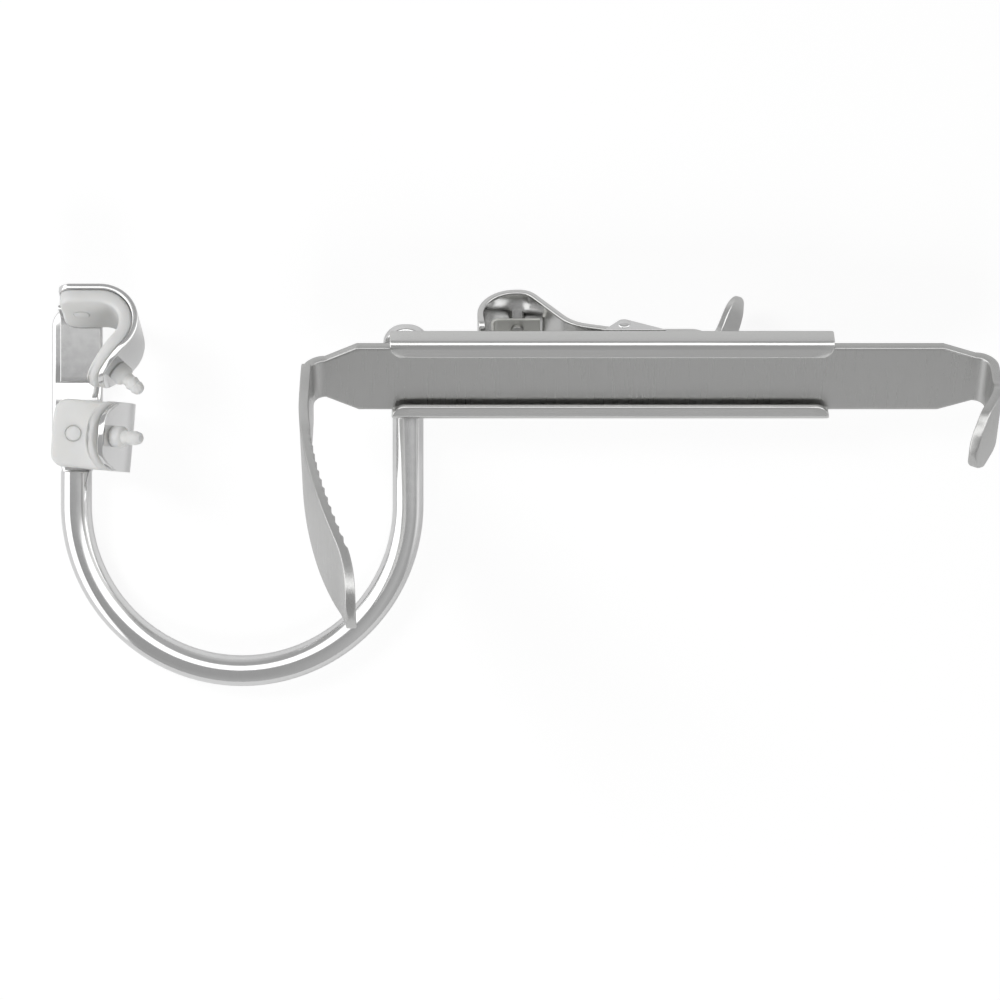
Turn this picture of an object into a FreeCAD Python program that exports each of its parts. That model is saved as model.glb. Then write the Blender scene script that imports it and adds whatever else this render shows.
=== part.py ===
"""Mouth gag: a bent rod frame with two padded tooth plates, a tilted guide rail,
a double-ended tongue bar that slides in the rail, and a sprung release lever.

Millimetres, +Z up. The origin is the middle of the underside of the flat paddle
that carries the tooth plates. The instrument lies with its rod on the XY plane.
The rail and all that it carries are drawn in the rail's own frame (along the rail,
across it, out of its open front) and placed together by RAIL.
"""
import FreeCAD, Part
import math
import os
import Sketcher
from FreeCAD import Placement, Rotation, Vector

SIZES = [
    ("rod_diameter", 6.5, "round rod of the frame"),
    ("bow_radius", 35.0, "centreline radius of the U bow"),
    ("leg_length", 23.3, "from the middle of the paddle to the start of the bow"),
    ("bend_radius", 8.0, "bend that lifts the rod to the back of the rail"),
    ("paddle_width", 10.6, "flattened rod under the tooth plates"),
    ("paddle_length", 30.7, "its flat length"),
    ("paddle_low", 12.3, "its lower end, below the origin"),
    ("paddle_taper", 3.6, "it narrows to the rod's width under the side plate"),
    ("paddle_step", 1.6, "steep rise from there to the round rod"),
    ("paddle_thick", 3.0, "its thickness"),
    ("paddle_corner", 4.0, "rounded corners of its free end"),
    ("neck_length", 3.0, "from round rod to flat foot"),
    ("foot_width", 9.6, "flattened rod behind the rail"),
    ("foot_thick", 2.8, "its thickness"),
    ("foot_rise", -0.75, "its rounded end above the rail's upper edge"),
    ("edge_round", 0.7, "rounded edges of both flattened ends"),
    ("rail_length", 91.3, "guide rail"),
    ("rail_height", 20.7, "outer height"),
    ("rail_depth", 5.4, "outer depth"),
    ("rail_sheet", 1.2, "sheet thickness"),
    ("rail_gap", 13.0, "open front between the lips"),
    ("rail_bend", 1.5, "outer bend radius"),
    ("lip_round", 3.0, "rounded ends of the lips"),
    ("rail_tilt", 42.0, "degrees between the rail's face and the bow's plane"),
    ("rail_side", 1.8, "middle of the rail's front, beyond the middle of the paddle"),
    ("rail_lift", 17.8, "middle of the rail's front, above the resting plane"),
    ("bar_thick", 2.0, "tongue bar"),
    ("bar_height", 16.6, "its height in the rail"),
    ("bar_clear", 0.05, "gap behind the bar"),
    ("bar_shift", -0.75, "bar's middle, above the rail's middle"),
    ("bar_left", 52.5, "full height reaches this far left of the rail's middle"),
    ("bar_right", 68.3, "full height reaches this far right"),
    ("left_end", 63.7, "outer face of the long blade's root"),
    ("right_end", 79.7, "outer face of the short blade's root"),
    ("left_neck", 9.8, "neck of the long blade"),
    ("right_neck", 11.6, "neck of the short blade"),
    ("root_bend", 3.5, "centreline radius of both root bends"),
    ("blade_length", 68.6, "long blade in front of the rail"),
    ("blade_width", 22.0, "its widest part"),
    ("blade_root", 10.0, "its straight root in front of the rail"),
    ("blade_bend", 145.0, "radius of its long curve"),
    ("blade_sweep", 18.5, "degrees of that curve"),
    ("ridge_pitch", 2.6, "grip ridges across the long blade"),
    ("ridge_count", 13, "number of grooves between ridges"),
    ("ridge_start", 17.5, "first groove, along the curve"),
    ("ridge_depth", 0.35, "depth of a groove"),
    ("ridge_radius", 2.6, "round bottom of a groove"),
    ("short_length", 21.8, "short blade in front of the rail"),
    ("short_width", 14.6, "its width"),
    ("short_root", 5.5, "its straight root"),
    ("short_sweep", 27.0, "degrees that it leans in"),
    ("short_bend", 16.0, "radius of the lean"),
    ("tooth_pitch", 2.5, "ratchet teeth on the back of the bar"),
    ("tooth_depth", 0.6, "depth of a tooth"),
    ("tooth_flank", 2.3, "length of its slope"),
    ("tooth_width", 7.0, "width of the row of teeth"),
    ("tooth_count", 22, "number of teeth"),
    ("pivot_along", 2.6, "lever pivot, right of the rail's middle"),
    ("pivot_behind", 1.75, "lever pivot, behind the rail's back"),
    ("pin_diameter", 1.6, "pivot pin"),
    ("pin_fit", 0.04, "radial gap of the pin in the barrel"),
    ("pin_head", 2.6, "peened heads of the pivot pin"),
    ("barrel_diameter", 3.2, "barrel of the lever round the pin"),
    ("lug_thick", 1.2, "pivot lugs"),
    ("lug_base", 8.3, "their length on the rail, without the toe"),
    ("lug_toe", 4.6, "long taper of each lug to the right"),
    ("lug_radius", 1.7, "their rounded top"),
    ("side_play", 0.15, "gap between the lever and each lug"),
    ("lever_width", 12.4, "lever strip"),
    ("lever_shift", 2.4, "lever strip's middle, above the rail's middle"),
    ("lever_thick", 1.3, "strip thickness"),
    ("loop_gap", 3.0, "free end of the finger loop, off the rail's back"),
    ("loop_sweep", 96.0, "degrees of the loop's large bend"),
    ("loop_radius", 7.3, "centreline radius of that bend"),
    ("loop_flat", 0.8, "flat at the bottom of the loop"),
    ("loop_turn", 4.0, "centreline radius of the bend after the flat"),
    ("loop_rise", 50.0, "degrees at which the strip comes back to the rail"),
    ("loop_slope", 8.9, "length of the straight part that comes back"),
    ("shoulder_radius", 9.0, "bend towards the pivot"),
    ("shoulder_length", 6.9, "straight part before the pivot"),
    ("arm_slope", 12.0, "degrees that the strip leans before the pivot"),
    ("arm_radius", 14.0, "bend at the pivot"),
    ("arm_gap", 0.75, "gap between the resting arm and the rail's back"),
    ("arm_over", 1.6, "arm beyond the pawl's working face"),
    ("arm_length", 14.6, "flat arm that carries the pawl"),
    ("tab_radius", 3.0, "bend of the thumb tab"),
    ("tab_length", 15.0, "thumb tab"),
    ("tab_nose", 7.1, "length of its round end"),
    ("tab_lean", 66.0, "degrees that the tab stands off the rail"),
    ("pawl_along", 17.5, "working face of the pawl, right of the rail's middle"),
    ("pawl_length", 2.4, "pawl, along the rail"),
    ("pawl_width", 4.6, "pawl, across the rail"),
    ("pawl_clear", 0.1, "gap between the resting pawl and the teeth"),
    ("pawl_slope", 0.65, "slope of the pawl's nose"),
    ("window_length", 6.0, "opening in the rail's back for the pawl"),
    ("window_width", 6.2, "the same, across"),
    ("rivet_diameter", 1.5, "rivet through arm and pawl"),
    ("rivet_head", 2.6, "its head"),
    ("spring_thick", 0.6, "leaf spring"),
    ("spring_width", 5.0, "its width"),
    ("spring_right", 4.8, "it reaches this far right of its screw"),
    ("spring_left", 3.8, "straight this far left of its screw"),
    ("spring_bend", 1.4, "centreline radius of its two bends"),
    ("toe_turn", 75.0, "degrees of the bend at its foot"),
    ("toe_length", 1.6, "straight end of the foot"),
    ("toe_gap", 0.3, "gap between the resting foot and the rail"),
    ("post_diameter", 3.6, "post inside the finger loop"),
    ("post_length", 3.8, "its length"),
    ("post_along", 19.4, "post, left of the rail's middle"),
    ("screw_diameter", 1.6, "screw that holds the spring"),
    ("screw_head", 2.6, "its head"),
    ("screw_head_high", 0.9, "head height"),
    ("screw_slot", 0.5, "slot in the head"),
    ("plate_sheet", 1.2, "tooth plates"),
    ("plate_width", 14.4, "their width"),
    ("side_flat", 9.6, "flat leg of the side plate"),
    ("front_flat", 8.8, "flat leg of the front plate"),
    ("hook_radius", 8.2, "outer radius of the hook"),
    ("side_sweep", 121.0, "degrees of the side hook"),
    ("front_sweep", 133.0, "degrees of the front hook"),
    ("hook_leg", 6.6, "straight leg after the hook"),
    ("flare_radius", 2.4, "centreline radius of the turned-out tip"),
    ("flare_sweep", 42.0, "degrees of the turned-out tip"),
    ("tongue_round", 6.0, "length of the rounded tip"),
    ("plate_corner", 3.0, "rounded corners of the flat leg"),
    ("side_plate_left", -4.3, "left edge of the side tooth plate"),
    ("side_plate_top", -0.7, "upper edge of the side tooth plate"),
    ("side_plate_turn", -5.0, "degrees that it is turned on the paddle"),
    ("front_plate_left", -3.3, "left edge of the front tooth plate"),
    ("front_base_width", 8.7, "width of the front plate's base"),
    ("front_hook_offset", 1.2, "its hook starts this far right of the base's edge"),
    ("front_base_low", 2.6, "lower edge of the front plate's base"),
    ("front_base_length", 13.1, "flat base of the front plate"),
    ("front_bend", 1.4, "centreline radius of its bend"),
    ("front_angle", 70.0, "degrees of its bend"),
    ("front_overlap", 2.3, "base strip runs this far up into the hook's leg"),
    ("pad_thick", 2.8, "silicone pads"),
    ("pad_gap", 0.05, "gap between pad and plate"),
    ("pad_over", 1.6, "pad beyond the plate's straight leg"),
    ("pad_inset", 0.3, "pad inside the plate's outer edge"),
    ("pip_diameter", 3.2, "round plug of a pad in the flat leg"),
    ("pip_rise", 0.4, "its dome above the pad"),
    ("stem_diameter", 3.1, "pull-through stem of a pad"),
    ("stem_length", 7.0, "stem outside the plate"),
    ("stem_flange", 4.0, "collar of the stem"),
    ("stem_along", 2.8, "stem on the straight leg"),
]

# Outline of the long blade, seen from its inner side: part of its length, and how much
# narrower each side is there than at the widest part
LONG_BLADE_OUTLINE = [(0.19, 2.6), (0.28, 0.9), (0.36, 0.0), (0.62, 0.0), (0.72, 0.9),
                      (0.81, 2.4), (0.88, 4.2)]
SHORT_BLADE_OUTLINE = [(0.44, 0.0), (0.74, 0.0), (0.86, 1.6)]
# Half section of a pull-through stem: part of its radius, and part of its length
STEM_OUTLINE = [(0.97, 0.20), (0.97, 0.48), (1.12, 0.52), (0.74, 0.95), (0.50, 1.00)]
STEM_COLLAR_TOP = 0.14
FIRST_TOOTH = -9

doc = FreeCAD.newDocument("mouth_gag")
sheet = doc.addObject("Spreadsheet::Sheet", "Sizes")
for row, (alias, value, note) in enumerate(SIZES, start=1):
    sheet.set(f"A{row}", alias)
    sheet.set(f"B{row}", str(value))
    sheet.set(f"C{row}", note)
    sheet.setAlias(f"B{row}", alias)
doc.recompute()


def size(name):
    """The value of one named cell."""
    return float(sheet.get(name))


X_AXIS = Vector(1, 0, 0)
Y_AXIS = Vector(0, 1, 0)
Z_AXIS = Vector(0, 0, 1)

rod_radius = size("rod_diameter") / 2
rail_half = size("rail_length") / 2
rail_sheet = size("rail_sheet")
right_leg = 2 * size("bow_radius")
RAIL = Placement(
    Vector(right_leg - rod_radius + rail_half, size("rail_side"), size("rail_lift")),
    Rotation(X_AXIS, size("rail_tilt")),
)
# Depths behind the rail's front plane
rail_back = size("rail_depth")
bar_back = rail_back - rail_sheet - size("bar_clear")
bar_middle = bar_back - size("bar_thick") / 2
pivot_depth = rail_back + size("pivot_behind")
lever_top = size("lever_shift") + size("lever_width") / 2
lever_bottom = size("lever_shift") - size("lever_width") / 2

finished = []


def feature(label, shape, placement=None):
    """A sub-part whose shape is worked out in code."""
    item = doc.addObject("Part::Feature", label)
    item.Label = label
    item.Shape = shape
    item.Placement = placement or Placement()
    finished.append(item)
    return item


def bind(item, sizes):
    """Ties an object's properties to formulas on the sheet."""
    for name, formula in sizes.items():
        item.setExpression(name, formula)
    return item


def polygon_face(points):
    return Part.Face(Part.makePolygon(points + points[:1]))


def bent_strip(start, heading, moves, thick):
    """Face of a bent strip in the XY plane, drawn along its centreline.

    moves holds (length, 0) for a straight and (radius, degrees) for a bend,
    positive to the left. Returns the face and the end point and heading.
    """
    left, right = [], []
    point = Vector(start[0], start[1], 0)
    angle = math.radians(heading)
    half = thick / 2

    def normal(a):
        return Vector(-math.sin(a), math.cos(a), 0)

    for amount, turn in moves:
        if turn == 0:
            end = point + Vector(math.cos(angle), math.sin(angle), 0) * amount
            for side, edges in ((half, left), (-half, right)):
                offset = normal(angle) * side
                edges.append(Part.makeLine(point + offset, end + offset))
            point = end
            continue
        sign = 1 if turn > 0 else -1
        centre = point + normal(angle) * amount * sign
        middle = angle + math.radians(turn) / 2
        last = angle + math.radians(turn)
        for side, edges in ((half, left), (-half, right)):
            radius = amount - sign * side
            ends = [centre - normal(a) * radius * sign for a in (angle, middle, last)]
            edges.append(Part.Arc(*ends).toShape())
        point = centre - normal(last) * amount * sign
        angle = last
    first = Part.makeLine(right[0].Vertexes[0].Point, left[0].Vertexes[0].Point)
    final = Part.makeLine(left[-1].Vertexes[-1].Point, right[-1].Vertexes[-1].Point)
    edges = Part.sortEdges(left + right + [first, final])[0]
    return Part.Face(Part.Wire(edges)), point, math.degrees(angle)


def flat_section(width, thick, corner, place):
    """Closed section of a flattened rod: four sides and four round corners."""
    w, t = width / 2, thick / 2
    inner_w, inner_t = w - corner, t - corner
    points = [(w, -inner_t), (w, inner_t), (inner_w, t), (-inner_w, t),
              (-w, inner_t), (-w, -inner_t), (-inner_w, -t), (inner_w, -t)]
    points = [Vector(a, b, 0) for a, b in points]
    edges = []
    for k in range(0, 8, 2):
        first, second, third = points[k], points[k + 1], points[(k + 2) % 8]
        centre = Vector(math.copysign(inner_w, second.x + third.x),
                        math.copysign(inner_t, second.y + third.y), 0)
        outward = (second + third) / 2 - centre
        edges.append(Part.makeLine(first, second))
        edges.append(Part.Arc(second, centre + outward.normalize() * corner, third).toShape())
    wire = Part.Wire(edges)
    wire.Placement = place
    return wire


def round_section(radius, place):
    """Circle cut into eight arcs, in step with the sides and corners of a flat section."""
    stops = [math.radians(a) for a in (-20, 20, 50, 130, 160, 200, 230, 310, 340)]
    edges = []
    for a, b in zip(stops, stops[1:]):
        points = [Vector(math.cos(c), math.sin(c), 0) * radius for c in (a, (a + b) / 2, b)]
        edges.append(Part.Arc(*points).toShape())
    wire = Part.Wire(edges)
    wire.Placement = place
    return wire


def round_ended(width, length, corner, thick):
    """Plate along +Y from the origin, with two rounded corners at its far end."""
    box = Part.makeBox(width, length, thick, Vector(-width / 2, 0, 0))
    far = [e for e in box.Edges
           if abs(e.Vertexes[0].Z - e.Vertexes[-1].Z) > thick / 2
           and e.Vertexes[0].Y > length / 2]
    return box.makeFillet(corner, far)


def build_frame_rod():
    """One rod: flat paddle, U bow, bend and the flat foot behind the rail."""
    leg_end = -size("leg_length")
    paddle_low = -size("paddle_low")
    taper_end = paddle_low - size("paddle_taper")
    neck_end = taper_end - size("paddle_step")
    tilt = math.radians(size("rail_tilt"))
    along = Vector(0, math.cos(tilt), math.sin(tilt))
    out = Vector(0, -math.sin(tilt), math.cos(tilt))
    rail_middle = Vector(right_leg, size("rail_side"), size("rail_lift"))
    on_back = rail_middle - out * (rail_back + rod_radius)
    reach = (on_back.z - rod_radius) / math.sin(tilt)
    corner_point = on_back - along * reach
    tangent = size("bend_radius") * math.tan(tilt / 2)
    bend_start = corner_point - Y_AXIS * tangent
    bend_end = corner_point + along * tangent
    start = Vector(0, neck_end, rod_radius)
    bow_start = Vector(0, leg_end, rod_radius)
    bow_end = Vector(right_leg, leg_end, rod_radius)
    left_run = Part.makeCylinder(rod_radius, neck_end - leg_end, bow_start, Y_AXIS)
    bow_disc = Part.Face(Part.Wire(Part.makeCircle(rod_radius, bow_start, Y_AXIS)))
    bow = bow_disc.revolve((bow_start + bow_end) / 2, Z_AXIS, 180)
    right_run = Part.makeCylinder(rod_radius, bend_start.y - leg_end, bow_end, Y_AXIS)
    bend_disc = Part.Face(Part.Wire(Part.makeCircle(rod_radius, bend_start, Y_AXIS)))
    bend = bend_disc.revolve(bend_start + Z_AXIS * size("bend_radius"), X_AXIS, size("rail_tilt"))

    edge_round = size("edge_round")
    facing = Rotation(X_AXIS, 90)
    thick = size("paddle_thick")
    flat_wire = flat_section(size("paddle_width"), thick, edge_round,
                             Placement(Vector(0, paddle_low, thick / 2), facing))
    round_wire = round_section(rod_radius, Placement(start, facing))
    narrow_wire = flat_section(size("rod_diameter"), thick, edge_round,
                               Placement(Vector(0, taper_end, thick / 2), facing))
    neck = Part.makeLoft([round_wire, narrow_wire], True)
    taper = Part.makeLoft([narrow_wire, flat_wire], True)
    bar = Part.Face(flat_wire).extrude(Y_AXIS * size("paddle_length"))
    outline = round_ended(size("paddle_width"), size("paddle_length"), size("paddle_corner"), thick)
    outline.translate(Vector(0, paddle_low, 0))
    paddle = bar.common(outline)

    foot_thick = size("foot_thick")
    tilted = Rotation(X_AXIS, size("rail_tilt") + 90)
    foot_start = rail_middle - out * (rail_back + foot_thick / 2)
    bend_height = (bend_end - rail_middle).dot(along)
    loft_length = size("neck_length")
    foot_low = foot_start + along * (bend_height + loft_length)
    foot_top = size("rail_height") / 2 + size("foot_rise")
    foot_length = foot_top - bend_height - loft_length
    foot_wire = flat_section(size("foot_width"), foot_thick, edge_round,
                             Placement(foot_low, tilted))
    rod_wire = round_section(rod_radius, Placement(bend_end, tilted))
    foot_neck = Part.makeLoft([rod_wire, foot_wire], True)
    foot_bar = Part.Face(foot_wire).extrude(along * foot_length)
    # A hair less than half the width, so that the end keeps a short flat
    full_round = size("foot_width") * 0.49
    foot_outline = round_ended(size("foot_width"), foot_length, full_round, foot_thick)
    foot_outline.Placement = Placement(foot_low - out * foot_thick / 2,
                                       Rotation(X_AXIS, size("rail_tilt")))
    foot = foot_bar.common(foot_outline)
    whole = left_run.multiFuse([bow, right_run, bend, neck, taper, paddle, foot_neck, foot])
    feature("frame_rod", whole.removeSplitter())


def origin_plane(body, role):
    return [f for f in body.Origin.OriginFeatures if f.Role == role][0]


def rectangle_sketch(body, name, role, left, low, right, high):
    """Rectangle whose four sides are bound to formulas on the sheet."""
    sketch = body.newObject("Sketcher::SketchObject", name)
    sketch.AttachmentSupport = [(origin_plane(body, role), "")]
    sketch.MapMode = "FlatFace"
    corners = [Vector(-2, -1, 0), Vector(2, -1, 0), Vector(2, 1, 0), Vector(-2, 1, 0)]
    for k in range(4):
        sketch.addGeometry(Part.LineSegment(corners[k], corners[(k + 1) % 4]), False)
    for k in range(4):
        sketch.addConstraint(Sketcher.Constraint("Coincident", k, 2, (k + 1) % 4, 1))
    for k in (0, 2):
        sketch.addConstraint(Sketcher.Constraint("Horizontal", k))
        sketch.addConstraint(Sketcher.Constraint("Vertical", k + 1))
    bounds = [
        ("left", "DistanceX", 0, 1, -2, left),
        ("low", "DistanceY", 0, 1, -1, low),
        ("right", "DistanceX", 2, 1, 2, right),
        ("high", "DistanceY", 2, 1, 1, high),
    ]
    for label, kind, line, end, start_value, formula in bounds:
        index = sketch.addConstraint(Sketcher.Constraint(kind, line, end, start_value))
        sketch.renameConstraint(index, label)
        sketch.setExpression(f"Constraints.{label}", formula)
    return sketch


def build_guide_rail():
    """C-shaped sheet channel, open at the front, with a window for the pawl."""
    body = doc.addObject("PartDesign::Body", "RailSheet")
    outer = rectangle_sketch(
        body, "RailOuter", "YZ_Plane",
        "-Sizes.rail_height / 2", "-Sizes.rail_depth", "Sizes.rail_height / 2", "0")
    block = body.newObject("PartDesign::Pad", "RailBlock")
    block.Profile = outer
    block.Midplane = True
    block.setExpression("Length", "Sizes.rail_length")
    doc.recompute()
    bends = []
    for k, edge in enumerate(block.Shape.Edges, start=1):
        ends = [v.Point for v in edge.Vertexes]
        if abs(ends[0].x - ends[-1].x) > rail_half:
            bends.append(f"Edge{k}")
    bend = body.newObject("PartDesign::Fillet", "RailBends")
    bend.Base = (block, bends)
    bend.setExpression("Radius", "Sizes.rail_bend")
    cuts = [
        ("RailHollow", "YZ_Plane", "Sizes.rail_sheet - Sizes.rail_height / 2",
         "Sizes.rail_sheet - Sizes.rail_depth", "Sizes.rail_height / 2 - Sizes.rail_sheet",
         "-Sizes.rail_sheet"),
        ("RailFront", "YZ_Plane", "-Sizes.rail_gap / 2", "-2 * Sizes.rail_sheet",
         "Sizes.rail_gap / 2", "1"),
        ("RailWindow", "XY_Plane",
         "Sizes.pawl_along - Sizes.pawl_length / 2 - Sizes.window_length / 2",
         "Sizes.lever_shift - Sizes.window_width / 2",
         "Sizes.pawl_along - Sizes.pawl_length / 2 + Sizes.window_length / 2",
         "Sizes.lever_shift + Sizes.window_width / 2"),
    ]
    for name, role, left, low, right, high in cuts:
        sketch = rectangle_sketch(body, name + "Sketch", role, left, low, right, high)
        pocket = body.newObject("PartDesign::Pocket", name)
        pocket.Profile = sketch
        pocket.Type = 1
        pocket.Midplane = True
        doc.recompute()
    body.Tip = body.Group[-1]
    # The four ends of the lips are rounded, each by a square corner less a cylinder
    radius = size("lip_round")
    gap = size("rail_gap") / 2
    scraps = []
    for k, (sx, sy) in enumerate([(1, 1), (-1, 1), (-1, -1), (1, -1)], start=1):
        inner = Vector(sx * (rail_half - radius), sy * (gap + radius), -rail_sheet)
        square = doc.addObject("Part::Box", f"LipCorner{k}")
        bind(square, {"Length": "Sizes.lip_round * 1.5", "Width": "Sizes.lip_round * 1.5",
                      "Height": "Sizes.rail_sheet * 1.5"})
        reach = radius * 1.5
        low_x = inner.x if sx > 0 else inner.x - reach
        low_y = inner.y - reach if sy > 0 else inner.y
        square.Placement = Placement(Vector(low_x, low_y, inner.z), Rotation())
        round_bar = doc.addObject("Part::Cylinder", f"LipRound{k}")
        bind(round_bar, {"Radius": "Sizes.lip_round", "Height": "Sizes.rail_sheet * 1.5"})
        round_bar.Placement = Placement(inner, Rotation())
        scrap = doc.addObject("Part::Cut", f"LipScrap{k}")
        scrap.Base = square
        scrap.Tool = round_bar
        scraps.append(scrap)
    ends = doc.addObject("Part::MultiFuse", "LipScraps")
    ends.Shapes = scraps
    rail = doc.addObject("Part::Cut", "guide_rail")
    rail.Base = body
    rail.Tool = ends
    rail.Label = "guide_rail"
    rail.Placement = RAIL
    finished.append(rail)


def side_view(face, low, high):
    """Extrudes a face drawn along the rail and out of its front, across the rail."""
    solid = face.extrude(Z_AXIS * (high - low))
    solid.Placement = Placement(Vector(0, high, 0), Rotation(X_AXIS, 90))
    return solid


def plan_outline(points, low, high):
    """Prism over a flat outline drawn along and across the rail."""
    return polygon_face([Vector(a, b, low) for a, b in points]).extrude(Z_AXIS * (high - low))


def blade_outline(levels, reach, tip_round):
    """Prism along X of a blade's front view: half widths at heights, round at the tip."""
    right = [Vector(0, half, height) for height, half in levels]
    left = [Vector(0, -half, height) for height, half in reversed(levels)]
    top = levels[-1]
    crown = Part.Arc(right[-1], Vector(0, 0, top[0] + tip_round), left[0]).toShape()
    side_a = Part.makePolygon(right).Edges
    side_b = Part.makePolygon(left).Edges
    base = Part.makeLine(left[-1], right[0])
    face = Part.Face(Part.Wire(Part.sortEdges(side_a + [crown] + side_b + [base])[0]))
    solid = face.extrude(X_AXIS * 2 * reach)
    solid.translate(Vector(-reach, 0, 0))
    return solid


def build_tongue_bar():
    """Flat bar with ratchet teeth behind, a long ridged blade and a short blade."""
    thick = size("bar_thick")
    bend = size("root_bend")
    half_bar = size("bar_height") / 2
    reach = size("blade_width")
    left_root = -size("left_end") + thick / 2
    right_root = size("right_end") - thick / 2
    taper = size("left_end") - size("bar_left") - bend - thick / 2
    upright = size("blade_root") + bar_middle - bend
    curve = size("blade_bend")
    sweep = size("blade_sweep")
    tip_run = size("blade_length")
    flat = -left_root - bend
    long_face, _, _ = bent_strip(
        (0, -bar_middle), 180,
        [(flat, 0), (bend, -90), (upright, 0), (curve, -sweep), (tip_run, 0)], thick)
    short_flat = right_root - bend
    short_up = size("short_root") + bar_middle - bend
    lean = size("short_sweep")
    short_face, _, _ = bent_strip(
        (0, -bar_middle), 0,
        [(short_flat, 0), (bend, 90), (short_up, 0), (size("short_bend"), lean),
         (size("short_length"), 0)], thick)
    left_half = size("left_neck") / 2
    right_half = size("right_neck") / 2
    right_taper = size("right_end") - size("bar_right") - bend - thick / 2
    far_left = -size("left_end") - thick
    far_right = size("right_end") + thick
    plan = [
        (far_left, -left_half), (-size("bar_left") - taper, -left_half),
        (-size("bar_left"), -half_bar), (size("bar_right"), -half_bar),
        (size("bar_right") + right_taper, -right_half), (far_right, -right_half),
        (far_right, right_half), (size("bar_right") + right_taper, right_half),
        (size("bar_right"), half_bar), (-size("bar_left"), half_bar),
        (-size("bar_left") - taper, left_half), (far_left, left_half),
    ]
    root_top = bend - bar_middle
    plate = side_view(long_face, -reach, reach).fuse(side_view(short_face, -reach, reach))
    plate = plate.common(plan_outline(plan, -rail_back, root_top))
    far = 2 * size("right_end")
    blades = []
    for face, root, half_root, name, outline in [
        (long_face, 0.7 * size("blade_root"), left_half, "blade", LONG_BLADE_OUTLINE),
        (short_face, size("short_root"), right_half, "short", SHORT_BLADE_OUTLINE),
    ]:
        half_width = size(name + "_width") / 2
        length = size(name + "_length")
        levels = [(root_top, half_root), (root, half_root)]
        levels += [(part * length, half_width - drop) for part, drop in outline]
        crown = length - levels[-1][0]
        solid = side_view(face, -reach, reach)
        side = -far if name == "blade" else 0
        own_half = Part.makeBox(far, reach * 2, far, Vector(side, -reach, -rail_back))
        blades.append(solid.common(blade_outline(levels, far, crown)).common(own_half))
    bar = plate.multiFuse(blades).removeSplitter()
    bar.translate(Y_AXIS * size("bar_shift"))

    # Round-bottomed grooves leave grip ridges on the blade's inner face
    centre = Vector(left_root + curve, 0, size("blade_root"))
    hollow = curve - thick / 2 - size("ridge_radius") + size("ridge_depth")
    grooves = []
    for k in range(int(size("ridge_count"))):
        angle = (size("ridge_start") + k * size("ridge_pitch")) / curve
        place = centre + Vector(-math.cos(angle), 0, math.sin(angle)) * hollow
        grooves.append(Part.makeCylinder(size("ridge_radius"), 2 * reach,
                                         place - Y_AXIS * reach, Y_AXIS))
    # Saw teeth: each notch has its steep wall on the right
    steep = size("pawl_along") + size("pawl_clear")
    depth = size("tooth_depth")
    half_row = size("tooth_width") / 2
    middle = size("lever_shift")
    for k in range(int(size("tooth_count"))):
        wall = steep + (k + FIRST_TOOTH) * size("tooth_pitch")
        notch = polygon_face([
            Vector(wall, middle - half_row, -bar_back - depth),
            Vector(wall, middle - half_row, -bar_back + depth),
            Vector(wall - size("tooth_flank"), middle - half_row, -bar_back),
            Vector(wall - size("tooth_flank"), middle - half_row, -bar_back - depth),
        ]).extrude(Y_AXIS * size("tooth_width"))
        grooves.append(notch)
    feature("tongue_bar", bar.cut(grooves), RAIL)


def lug(label, low):
    """Sheet lug on the rail's back: a wide foot that narrows to a round top."""
    along = size("pivot_along")
    left_reach = size("lug_base") / 2
    right_reach = left_reach + size("lug_toe")
    radius = size("lug_radius")
    rise = size("pivot_behind")
    base = -rail_back
    middle = Vector(along, base - rise, 0)

    def touch(reach):
        lean = math.atan2(rise, reach) + math.asin(radius / math.hypot(reach, rise))
        return Vector(math.sin(lean), -math.cos(lean), 0) * radius

    right = middle + touch(right_reach)
    left_touch = touch(left_reach)
    left = middle + Vector(-left_touch.x, left_touch.y, 0)
    right_foot = Vector(along + right_reach, base, 0)
    left_foot = Vector(along - left_reach, base, 0)
    edges = [
        Part.makeLine(right_foot, right),
        Part.Arc(right, middle - Y_AXIS * radius, left).toShape(),
        Part.makeLine(left, left_foot),
        Part.makeLine(left_foot, right_foot),
    ]
    face = Part.Face(Part.Wire(edges))
    bore = Part.makeCylinder(size("pin_diameter") / 2, rail_half,
                             middle - Z_AXIS * rail_half / 2, Z_AXIS)
    solid = side_view(face, low, low + size("lug_thick"))
    bore.Placement = Placement(Vector(0, 0, 0), Rotation(X_AXIS, 90))
    feature(label, solid.cut(bore), RAIL)


def placed_cylinder(label, radius, height, start, direction):
    """Cylinder primitive with bound sizes, in the rail's frame."""
    item = doc.addObject("Part::Cylinder", label)
    bind(item, {"Radius": radius, "Height": height})
    item.Placement = RAIL.multiply(Placement(start, Rotation(Z_AXIS, direction)))
    return item


def fuse(label, parts):
    item = doc.addObject("Part::MultiFuse", label)
    item.Shapes = parts
    item.Label = label
    finished.append(item)
    return item


def build_pivot():
    """Two lugs brazed to the rail's back and the pin peened over in them."""
    play, thick = size("side_play"), size("lug_thick")
    lug("upper_pivot_lug", lever_top + play)
    lug("lower_pivot_lug", lever_bottom - play - thick)
    low = lever_bottom - play - thick
    high = lever_top + play + thick
    along = size("pivot_along")
    head = "Sizes.pin_head / 2"
    shank = placed_cylinder("PinShank", "Sizes.pin_diameter / 2",
                            "Sizes.lever_width + 2 * Sizes.side_play + 2 * Sizes.lug_thick",
                            Vector(along, low, -pivot_depth), Y_AXIS)
    upper = placed_cylinder("PinUpperHead", head, "Sizes.pin_diameter / 4",
                            Vector(along, high, -pivot_depth), Y_AXIS)
    lower = placed_cylinder("PinLowerHead", head, "Sizes.pin_diameter / 4",
                            Vector(along, low, -pivot_depth), -Y_AXIS)
    fuse("pivot_pin", [shank, upper, lower])


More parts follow.
